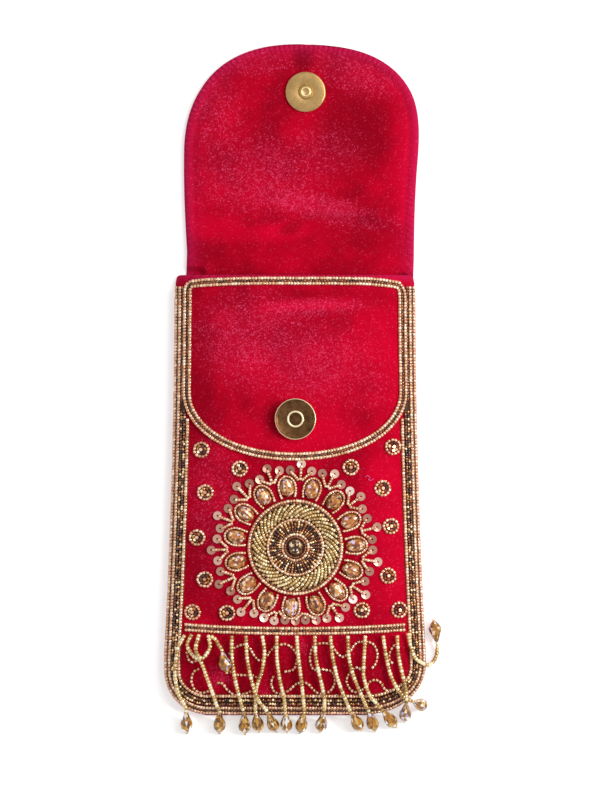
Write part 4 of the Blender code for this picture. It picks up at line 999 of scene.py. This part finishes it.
def make_back_and_flap():
    """One long piece of velvet: the back, the soft fold and the padded flap with its rolled edge."""
    columns = 84
    zone = FOLD_ZONE + 2.0
    reaches = list(np.linspace(EDGE_OVERHANG * 0.4, 22, 26)) + list(np.linspace(24, MOUTH_RISE - 1, 60))
    reaches += list(np.linspace(MOUTH_RISE - 0.4, BACK_LENGTH + zone, 42))
    straight_end = BACK_LENGTH + FLAP_LENGTH - FLAP_TIP_HEIGHT
    reaches += list(np.linspace(BACK_LENGTH + zone + 1, straight_end, 32))
    turns = np.linspace(0, pi / 2, 46)[1:]
    tip = [straight_end + FLAP_TIP_HEIGHT * sin(turn) ** (2 / TIP_ROUNDNESS) for turn in turns]
    tip[-1] = straight_end + FLAP_TIP_HEIGHT * 0.99995
    reaches += tip
    spreads = [(sin(pi / 2 * (2 * i / columns - 1)) + 1) / 2 for i in range(columns + 1)]
    lines = [half_across(reach) for reach in reaches]
    plan = np.array([[[a + (b - a) * s for a, b in zip(p, q)] for s in spreads] for p, q in lines])
    edge = np.concatenate([plan[:, 0], plan[:, -1], plan[0], plan[-1]])
    flat = plan.reshape(-1, 2)
    gaps = np.concatenate([
        np.sqrt(((flat[start:start + 2000, None] - edge[None]) ** 2).sum(-1)).min(1)
        for start in range(0, len(flat), 2000)
    ])
    reach_of = np.repeat(reaches, columns + 1)
    roll = np.sqrt(1 - (1 - np.clip(gaps / EDGE_ROLL, 0, 1)) ** 2)
    into_pocket = np.clip((gaps - 6.0) / 3.0, 0, 1)
    thin = 1.0 + (FLAP_WALL - 1.0) * ease(into_pocket)
    beyond = np.clip((reach_of - MOUTH_RISE + 0.5) / 3.5, 0, 1)
    wall = thin + (FLAP_WALL - thin) * ease(beyond)
    top = wall / 2 + wall / 2 * roll
    bottom = wall / 2 - wall / 2 * roll
    on_flap = np.clip((reach_of - BACK_LENGTH) / 10, 0, 1)
    groove = 0.45 * np.exp(-(((gaps - 4.4) / 1.0) ** 2)) * on_flap
    inside = np.clip((gaps - 3.0) / 6, 0, 1)
    soft = np.array([0.5 * crinkle(*place, 24.0, 1.7) + 0.22 * crinkle(*place, 9.0, 5.2) for place in flat])
    crease_middle = BACK_LENGTH + 16.5 - 0.1 * flat[:, 0] + 2.4 * np.sin(flat[:, 0] / 15.0)
    crease = 1.1 * np.exp(-(((flat[:, 1] - crease_middle - 3.6) / 3.4) ** 2))
    crease -= 0.9 * np.exp(-(((flat[:, 1] - crease_middle + 2.6) / 2.8) ** 2))
    crease *= np.clip(1.2 - np.abs(flat[:, 0] - 14) / 46, 0, 1)
    top = top - groove + (soft + crease) * inside * on_flap
    points = np.concatenate([np.column_stack([flat, top]), np.column_stack([flat, bottom])])
    width = columns + 1
    rows = len(reaches)
    half_count = len(flat)
    faces = []
    for r in range(rows - 1):
        for c in range(columns):
            a, b = r * width + c, (r + 1) * width + c
            faces.append((a, a + 1, b + 1, b))
            faces.append((half_count + a, half_count + b, half_count + b + 1, half_count + a + 1))
    rim = [r * width for r in range(rows)] + [(rows - 1) * width + c for c in range(1, width)]
    rim += [r * width + columns for r in range(rows - 2, -1, -1)] + [c for c in range(columns - 1, 0, -1)]
    for a, b in zip(rim, rim[1:] + rim[:1]):
        faces.append((a, b, half_count + b, half_count + a))
    inside = ("back_cover", "back_stiffener", "back_lining", "flap_cover", "flap_stiffener", "flap_facing")
    made = piece("velvet_back_and_flap", points, faces, "velvet", inside, body=None)
    mark_velvet(made, points, np.concatenate([gaps, gaps]) - 0.6, 0.8, 2.6)
    weld = bmesh.new()
    weld.from_mesh(made.data)
    bmesh.ops.remove_doubles(weld, verts=weld.verts[:], dist=0.00002)
    weld.to_mesh(made.data)
    weld.free()
    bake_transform(made)


# Bead rows


def flap_line_route(offset, steps=40):
    """Where the closed flap ends: down inside one edge, round, and up the other."""
    halves = []
    for side in (-1, 1):
        top = COLUMN_TOPS[side]
        rises = [top + (FLAP_LINE_KNEE - top) * i / 12 for i in range(12)]
        leg = [(side * (fabric_half_width(rise, side) - FLAP_LINE_INSET), rise) for rise in rises]
        knee = fabric_half_width(FLAP_LINE_KNEE, side) - FLAP_LINE_INSET
        for i in range(steps):
            turn = pi / 2 * i / steps
            across = knee * cos(turn) ** (2 / FLAP_LINE_ROUNDNESS)
            down = FLAP_LINE_DEPTH * sin(turn) ** (2 / FLAP_LINE_ROUNDNESS)
            leg.append((side * across, FLAP_LINE_KNEE - down))
        halves.append(leg)
    route = halves[0] + [(0.0, FLAP_LINE_KNEE - FLAP_LINE_DEPTH)] + halves[1][::-1]
    return inset_route(route, offset)


def mouth_route(offset, steps=40):
    """Just below the mouth, bending down at both ends to run on into the lines at the sides."""
    ends = {}
    for side in (-1, 1):
        top = COLUMN_TOPS[side]
        ends[side] = side * (fabric_half_width(top, side) - FLAP_LINE_INSET + offset)
    level = MOUTH_RISE - MOUTH_ROWS_DROP + offset
    sags = {-1: (2.3, 3.5), 1: (4.2, 5.0)}
    corner = 2.6 + offset
    route = []
    for i in range(steps + 1):
        x = ends[-1] + corner + (ends[1] - ends[-1] - 2 * corner) * i / steps
        most, power = sags[-1 if x < 0 else 1]
        sag = most * abs(x / MOUTH_HALF_WIDTH) ** power
        route.append((x, level - sag + 0.18 * crinkle(x, offset, 9.0, 2.0)))
    for side, at in ((-1, 0), (1, -1)):
        x, rise = route[at]
        drop = rise - COLUMN_TOPS[side]
        turns = [pi / 2 * i / 8 for i in range(1, 9)]
        bend = [(x + side * corner * sin(a), rise - drop * (1 - cos(a))) for a in turns]
        route = route + bend if side > 0 else bend[::-1] + route
    return route


def header_route(offset, steps=40):
    left = -(fabric_half_width(HEADER_RISE, -1) - HEADER_INSET)
    right = fabric_half_width(HEADER_RISE, 1) - HEADER_INSET
    xs = [left + (right - left) * i / steps for i in range(steps + 1)]
    return [(x, HEADER_RISE + offset + HEADER_ARCH * (x / BASE_HALF_WIDTH) ** 2) for x in xs]


def between_row(route):
    """A thin row of small brown beads, low between two pale rows."""
    return sewn_row(route, radius=0.56, length=1.15, pitch=1.25, lift=0.38)


def thread_and_shade_strip(name, route, half_wide):
    """Brown couching thread laid along a route, which closes the gaps between its beads; its dark brown also
    stands as painted shade between them.
    """
    section = ((-1, 0.1), (-0.4, 0.3), (0.4, 0.3), (1, 0.1), (1, -0.4), (-1, -0.4))
    points = [
        off_front(x + nx * across * half_wide, rise + nr * across * half_wide, lift)
        for (x, rise), (nx, nr) in zip(route, sideways(route))
        for across, lift in section
    ]
    piece(name, points, hose_faces(len(route), len(section)), "backing")


def make_border():
    # Brown thread strips under the rows, dark also as painted shade between their beads
    for name, outer, inner in (("outer", 0.35, 3.3), ("middle", 3.0, 5.4), ("inner", 5.2, 7.1)):
        route = border_route((outer + inner) / 2, BORDER_TOP - 0.6)
        if name != "outer":
            top = BORDER_TOP if name == "middle" else INNER_ROW_TOP
            route = [place for place in route if place[1] < top]
        thread_and_shade_strip(f"{name}_border_thread_and_shade", route, (inner - outer) / 2)
    rows = (
        ("edge_row_beads", EDGE_ROW_INSET, BORDER_TOP, BEAD_RADIUS, "edge_bead_row"),
        ("border_row_beads", BORDER_ROW_INSET, BORDER_TOP, 0.74, "border_bead_row"),
        ("inner_row_beads", INNER_ROW_INSET, INNER_ROW_TOP, BEAD_RADIUS, "inner_border_row"),
    )
    for name, inset, top, radius, node in rows:
        beaded(name, sewn_row(border_route(inset, top), radius=radius), "gold", (node,))
    low = between_row(border_route((EDGE_ROW_INSET + BORDER_ROW_INSET) / 2, BORDER_TOP))
    beside = border_route(3.65, BORDER_TOP)
    for side in (-1, 1):
        low += between_row([place for place in beside if place[0] * side > 0 and place[1] > DARK_BAND_TOP])
    beaded("brown_beads_between_rows", low, "brown")
    zigzag = []
    for inset in (DARK_BAND_INSET - 0.62, DARK_BAND_INSET + 0.58):
        route = border_route(inset, DARK_BAND_TOP)
        zigzag += sewn_row(route, radius=0.6, length=1.05, pitch=1.1, lift=0.62, wander=0.2, turn=0.5)
    beaded("dark_band_beads", zigzag, "dark", ("dark_border_band",))


def make_double_rows():
    """Three lines of two pale rows with a brown row between them."""
    lines = (
        ("flap_line", flap_line_route, "flap_line_rows"),
        ("mouth", mouth_route, "mouth_rows"),
        ("header", header_route, "fringe_header_rows"),
    )
    for name, route, node in lines:
        # The brown thread strip under each line is dark also as painted shade between its beads
        thread_and_shade_strip(f"{name}_backing", route(0.0), 1.3)
        pale = sewn_row(route(-ROW_PITCH)) + sewn_row(route(ROW_PITCH))
        beaded(f"{name}_beads", pale, "gold", (node,))
        beaded(f"{name}_brown_beads", between_row(route(0.0)), "brown")


# Medallion


def petal_turn(number):
    """The clockwise turn from the top to a petal's middle."""
    return PETAL_TURN + 2 * pi * number / PETALS


def polar(radius, turn):
    return (MEDALLION[0] + radius * sin(turn), MEDALLION[1] + radius * cos(turn))


def petal_loop(number):
    """A loop of beads round one stone, whose two ends run down to the medallion."""
    turn = petal_turn(number)
    along = (sin(turn), cos(turn))
    across = (cos(turn), -sin(turn))
    middle = polar(CRYSTAL_RADIUS, turn)
    legs = [(-4.7, 2.8), (-3.2, 3.26), (-1.6, 3.58)]
    arch = [(4.85 * cos(a), 3.74 * sin(a)) for a in (radians(90 - 6 * i) for i in range(31))]
    plan = legs + arch + [(out, -side) for out, side in reversed(legs)]
    return [
        (middle[0] + along[0] * out + across[0] * side, middle[1] + along[1] * out + across[1] * side)
        for out, side in plan
    ]


def spray_reach(turn, side):
    """How far out a sequin sits: less where the header would cover it."""
    if cos(turn) >= 0:
        return SPRAY_RADII[side]
    room = MEDALLION[1] - HEADER_RISE - 1.5 * ROW_PITCH - SEQUIN_RADIUS - 0.7
    return min(SPRAY_RADII[side], room / -cos(turn))


def set_on_front(points, x, rise, turn, lift):
    """Points made round the origin, turned clockwise and stood on the front."""
    upright = front_square(x, rise)
    tilt = Vector((0, 0, 1)).rotation_difference(upright).to_matrix() @ Matrix.Rotation(-turn, 3, "Z")
    base = off_front(x, rise, lift)
    return np.array(points) @ np.array(tilt).T + np.array(tuple(base))


def stone_form(half_wide, half_long, height, sides=10):
    """An oval stone whose facets run along it, up to a narrow table."""
    points = []
    for wide, long, up, stagger in STONE_RINGS:
        for i in range(sides):
            turn = 2 * pi * (i + stagger) / sides
            points.append((half_wide * wide * sin(turn), half_long * long * cos(turn), height * up))
    top = (len(STONE_RINGS) - 1) * sides
    faces = [tuple(range(sides)), tuple(top + i for i in reversed(range(sides)))]
    faces += band(0, sides, sides)
    for ring in range(1, len(STONE_RINGS) - 1):
        faces += cut_band(ring * sides, (ring + 1) * sides, sides, ring % 2)
    return points, faces


def gather(forms):
    """Several forms as one."""
    points, faces = [], []
    for some_points, some_faces in forms:
        shift = sum(len(p) for p in points)
        points.append(np.array(some_points))
        faces += [tuple(i + shift for i in face) for face in some_faces]
    return np.concatenate(points), faces


def sequin_form():
    """A thin round disc, slightly cupped, with a small hole."""
    return lathe(((0.42, 0.0), (SEQUIN_RADIUS, 0.22), (SEQUIN_RADIUS, 0.34), (0.42, 0.12)), 18)


def thread_and_shade_disc():
    """Brown thread laid round and round under the medallion's beads, dark also as painted shade between
    them.
    """
    radii = (0.8, 4.0, 7.0, 10.0, 13.0, 16.0, 19.0, 20.6)
    section = [(radius, 0.3) for radius in radii] + [(radius, -0.4) for radius in reversed(radii)]
    flat, faces = lathe(section, 72)
    points = [off_front(MEDALLION[0] + y, MEDALLION[1] + x, lift) for x, y, lift in flat]
    piece("medallion_thread_and_shade", points, faces, "backing")


def make_medallion():
    rings = (
        ("outer_ring_beads", 20.3, 0.8, "medallion_outer_ring"),
        ("middle_ring_beads", 12.1, 0.72, "medallion_middle_ring"),
        ("inner_ring_beads", 5.7, 0.72, "medallion_inner_ring"),
    )
    for name, radius, bead_radius, node in rings:
        beaded(name, sewn_row(ring_route(radius), radius=bead_radius), "gold", (node,))
    low = between_row(ring_route(19.2)) + sewn_row(ring_route(4.4), radius=0.5, pitch=1.1, lift=0.6)
    beaded("brown_beads_in_medallion", low, "brown")
    thread_and_shade_disc()
    spokes = []
    for radius, size in ((6.95, 0.47), (7.95, 0.5), (9.0, 0.55), (10.1, 0.58), (11.1, 0.58)):
        for i in range(44):
            turn = 2 * pi * (i + chance.uniform(-0.1, 0.1)) / 44
            inner = off_front(*polar(radius - 0.5, turn), 0.6)
            outer = off_front(*polar(radius + 0.5, turn), 0.6)
            spokes.append(((inner + outer) / 2, outer - inner, size, 0.98))
    beaded("spoke_beads", spokes, "dark", ("medallion_spoke_ring",))
    rope = []
    turns = 42
    for i in range(turns):
        start = 2 * pi * i / turns
        route = []
        for j in range(13):
            share = j / 12
            x, rise = polar(13.2 + 5.5 * share, start + radians(25) * share)
            route.append(off_front(x, rise, 0.5 + 1.3 * sin(pi * share) + 0.25 * (i % 2)))
        middles, travel = evenly(route, 1.18)
        rope += [(m, t, 0.74 * chance.uniform(0.88, 1.08), 1.15) for m, t in zip(middles, travel)]
    beaded("rope_ring_beads", rope, "olive", ("medallion_rope_ring",))
    points, faces = stone_form(3.5, 3.5, 2.8)
    points = set_on_front(points, *MEDALLION, 0.0, 0.2)
    facet_tones(piece("heart_stone", points, faces, "heart", ("medallion_heart",), smooth=False))
    loops = []
    for number in range(PETALS):
        loops += sewn_row(petal_loop(number), radius=0.6, length=1.12, pitch=1.18)
    beaded("petal_loop_beads", loops, "gold", ("petal_loops",))
    stones = []
    for number in range(PETALS):
        turn = petal_turn(number)
        points, faces = stone_form(*CRYSTAL_HALF, 2.9)
        lean = turn + chance.uniform(-0.08, 0.08)
        stones.append((set_on_front(points, *polar(CRYSTAL_RADIUS - 0.1, turn), lean, 0.1), faces))
    made = piece("petal_stones", *gather(stones), "stone", smooth=False)
    facet_tones(made, len(faces))


def make_sprays():
    """Between the petals, three short stems of beads, each with a sequin at its end."""
    stems, discs, tones = [], [], []
    form, faces = sequin_form()
    for number in range(PETALS):
        between = petal_turn(number + 0.5)
        for side in (-1, 0, 1):
            turn = between + side * SPRAY_SPREAD
            reach = spray_reach(turn, side) + chance.uniform(-0.5, 0.4)
            end = polar(reach, turn)
            root = polar(min(29.4, reach - 3.4), between + side * 0.02)
            stop = polar(reach - SEQUIN_RADIUS * 0.25, turn)
            stems += sewn_row([root, stop], radius=0.7, length=1.14, pitch=1.2, lift=1.0)
            wobble = Matrix.Rotation(chance.uniform(-0.16, 0.16), 3, "X")
            wobble = wobble @ Matrix.Rotation(chance.uniform(-0.16, 0.16), 3, "Y")
            discs.append((set_on_front(np.array(form) @ np.array(wobble).T, *end, 0.0, 0.45), faces))
            tones += [chance.random()] * len(form)
    beaded("spray_stem_beads", stems, "gold")
    mark(piece("sequins", *gather(discs), "sequin", sharp=40), "bead_tone", tones)


def make_flowers():
    """Small round flowers: a ring of pale beads, dark gold ones inside and one in the middle."""
    pale, inside, hearts = [], [], []
    for side, inset, up in ROSETTES:
        rise = MEDALLION[1] + up
        middle = (side * (fabric_half_width(rise, side) - inset), rise)
        start = chance.uniform(0, 1)
        ring = ring_route(3.05, middle, 40, start, start + 2 * pi)
        pale += sewn_row(ring, radius=0.66, pitch=1.48, wander=0.12)
        ring = ring_route(1.65, middle, 24)
        inside += sewn_row(ring, radius=0.62, pitch=1.4, lift=0.7, wander=0.12, turn=0.5)
        hearts.append((off_front(*middle, 1.3), front_square(*middle), 0.85, 1.2))
    beaded("flower_ring_beads", pale, "gold")
    beaded("flower_inner_beads", inside, "dark", shape=CUT_BEAD)
    beaded("flower_heart_beads", hearts, "gold", shape=CUT_BEAD, slot="dark_brown_beads")


def make_scrolls():
    """Spaced beads in scrolling lines on the velvet behind the fringe."""
    beads = []
    for scroll in SCROLLS:
        points = [(across * BASE_HALF_WIDTH, up * HEADER_RISE) for across, up in scroll]
        route = [(place.x, place.y) for place in smooth_route(points, 0.8)]
        beads += sewn_row(route, radius=0.62, length=1.25, pitch=1.62, wander=0.1)
    beaded("scroll_beads", beads, "gold")


# Magnetic snap


def halfway(low, high):
    """The middle of a CAD node's box, in millimetres in the world."""
    return (low + high) / 2 / MM


def make_snap():
    """The dark socket on the front and the light stud on the flap's lining."""
    low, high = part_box("snap_socket_casing")
    radius = (high.x - low.x) / 2 / MM
    tall = (high.z - low.z) / MM
    hole, wall = 2.75, 0.6
    profile = [
        (hole, 0.6), (hole, tall - 0.25), (hole + 0.25, tall), (hole + 0.75, tall),
        (hole + 1.05, tall - 0.25), (hole + 1.15, tall - 0.55), (radius - 1.35, tall - 0.55),
        (radius - 1.0, tall - 0.42),
        (radius - 0.65, tall - 0.2), (radius - 0.3, tall - 0.25), (radius - 0.06, tall - 0.55),
        (radius, tall - 0.95), (radius, 0.15), (radius - 0.15, 0.0), (radius - wall, 0.0),
        (radius - wall, tall - 1.1), (hole + wall, tall - 1.1), (hole + wall, 0.6),
    ]
    points, faces = lathe(profile, 72)
    middle = halfway(low, high)
    points = points + np.array((middle.x, middle.y + BACK_LENGTH / 2, low.z / MM))
    piece("socket_shell", points, faces, "socket", ("snap_socket_casing",), sharp=50)
    low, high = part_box("snap_stud")
    radius = (high.x - low.x) / 2 / MM
    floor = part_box("flap_facing")[1].z / MM + 0.3
    plate, post = 1.3, high.z / MM - floor
    profile = [
        (0.0, post - 0.12), (1.5, post - 0.12), (1.75, post), (2.0, post), (2.2, post - 0.2),
        (2.2, plate - 0.25), (2.3, plate - 0.32), (3.0, plate - 0.32), (3.3, plate - 0.05), (3.5, plate),
        (radius - 0.75, plate), (radius - 0.35, plate - 0.08), (radius - 0.05, plate - 0.4),
        (radius, plate - 0.7), (radius, 0.1), (radius - 0.1, 0.0), (1.2, 0.0), (1.2, -1.5), (0.0, -1.5),
    ]
    points, faces = turned_form(profile, 72)
    middle = halfway(low, high)
    points = points + np.array((middle.x, middle.y + BACK_LENGTH / 2, floor))
    piece("stud_plate", points, faces, "stud", ("snap_stud",), "flap", sharp=50)
    hidden = {
        "snap_socket_base": "socket",
        "snap_socket_washer": "steel",
        "snap_stud_washer": "steel",
        "snap_magnet": "magnet",
    }
    for node, finish in hidden.items():
        frame["nodes"][node].data.materials.clear()
        frame["nodes"][node].data.materials.append(finishes[finish])


def make_loose_thread():
    """A short pink thread end, curled on the velvet above the right side of the medallion."""
    plan = ((30.6, 105.2), (31.6, 105.9), (32.6, 105.0), (32.0, 104.2), (33.2, 103.9), (34.3, 104.6))
    lifted = [off_front(x, rise, 0.45 + 0.3 * (i % 2)) for i, (x, rise) in enumerate(plan)]
    curl = thread_form(smooth_route(lifted, 0.4), 0.22)
    piece("loose_thread", *curl, "pink_thread")


# Shades from the darkest to the brightest: the beads of a batch, what a stone's facets send back
# at each share of their tones as painted reflections, with white and violet stops for painted flashes, and
# the snap's plate
# The palest of the bronze tones are painted glints: whole beads coloured pale for the light they catch
DARK_SHADES = ("#321606", "#48220C", "#643414", "#885222", "#C08E50", "#FFE8C0")
STONE_SHADES = (
    (0.0, "#50200A"), (0.2, "#84400E"), (0.45, "#B0621E"), (0.66, "#CC7E30"), (0.84, "#E6AC62"),
    (0.93, "#FFEED0"), (0.985, "#FFF0F4"), (1.0, "#DCC0EE"),
)
DROP_SHADES = (
    (0.0, "#5A3404"), (0.2, "#8C540A"), (0.45, "#B67410"), (0.68, "#CC9028"), (0.8, "#E6BC6C"),
    (0.88, "#FFFFF4"), (0.96, "#F0ECFF"), (1.0, "#A8A4DC"),
)
HEART_SHADES = (
    (0.0, "#140802"), (0.3, "#2C1606"), (0.55, "#4E2A0C"), (0.75, "#74441A"), (0.92, "#C08C48"),
    (1.0, "#FFF0D0"),
)
GOLD_SHADES = ("#B28260", "#CE9E7E", "#F0CCB0")
CHAMPAGNE_SHADES = ("#98743E", "#D0AE78", "#F8E6BE")
OLIVE_SHADES = ("#846638", "#C6A068", "#F6DEAE")
BROWN_SHADES = ("#3A1C0C", "#683A1E", "#925C34")
SOCKET_SHADES = ("#3E2A1A", "#583C24", "#705034")
STUD_SHADES = ("#9A7A4A", "#A68656", "#B29264")


# The colour slot of each finish that a piece can have
SLOTS = {
    "velvet": "crimson_velvet", "pink_thread": "crimson_velvet", "gold": "pale_gold_beads",
    "sequin": "pale_gold_beads", "champagne": "champagne_beads", "drop": "champagne_glass",
    "olive": "green_gold_rope", "brown": "dark_brown_beads", "dark": "dark_brown_beads",
    "backing": "dark_brown_beads", "stone": "amber_glass", "heart": "amber_glass",
    "socket": "dark_brass", "stud": "light_brass",
}


def make_finishes():
    socket = halfway(*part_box("snap_socket_casing"))
    stud = halfway(*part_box("snap_stud"))
    socket_edges = ((2.85, 3.6), (8.75, 9.6))
    stud_edges = ((1.7, 2.2), (8.75, 9.6))
    return {
        "velvet": crimson_velvet(),
        "gold": lined_glass("pale_gold_lined_glass", GOLD_SHADES, 0.22, 0.55, "#FFEAD8"),
        "champagne": lined_glass("champagne_lined_glass", CHAMPAGNE_SHADES, 0.2, 0.5, "#FFF6D8"),
        "olive": lined_glass("pale_olive_lined_glass", OLIVE_SHADES, 0.2, 0.5, "#FFF4E0"),
        "brown": lined_glass("brown_lined_glass", BROWN_SHADES, 0.3, 0.6, "#E0A878"),
        "dark": lined_glass("bronze_cut_glass", DARK_SHADES, 0.18, 0.6, "#D8A870"),
        "stone": cut_glass("amber_rainbow_crystal", STONE_SHADES, 1.6, 0.5, 455.0),
        "drop": cut_glass("champagne_rainbow_crystal", DROP_SHADES, 1.8, 0.35, 455.0),
        "heart": cut_glass("dark_gold_cut_crystal", HEART_SHADES, 1.2, 0.1, 0.0),
        "backing": twisted_thread("brown_thread_and_painted_shade", "#5C3018", "#301408"),
        "sequin": pressed_sequin(),
        "thread": twisted_thread("ecru_bead_thread", "#D8C8A0", "#A89468"),
        "pink_thread": twisted_thread("pink_thread_end", "#F05A98", "#C02868"),
        "socket": plated_brass("dark_antique_brass", SOCKET_SHADES, 0.33, socket, socket_edges, "#E0CCA4"),
        "stud": plated_brass("light_antique_brass", STUD_SHADES, 0.32, stud, stud_edges, "#DEC894"),
        "steel": inner_metal("zinc_plated_steel", "#C8C8CC", "#8E8E94", 0.35, 1.0),
        "magnet": inner_metal("sintered_ferrite_magnet", "#55555A", "#303034", 0.6, 0.6),
    }


set_camera()
finishes = make_finishes()
make_fringe()
make_front()
make_back_and_flap()
make_border()
make_double_rows()
make_medallion()
make_sprays()
make_flowers()
make_scrolls()
make_snap()
make_loose_thread()
set_table_and_light()
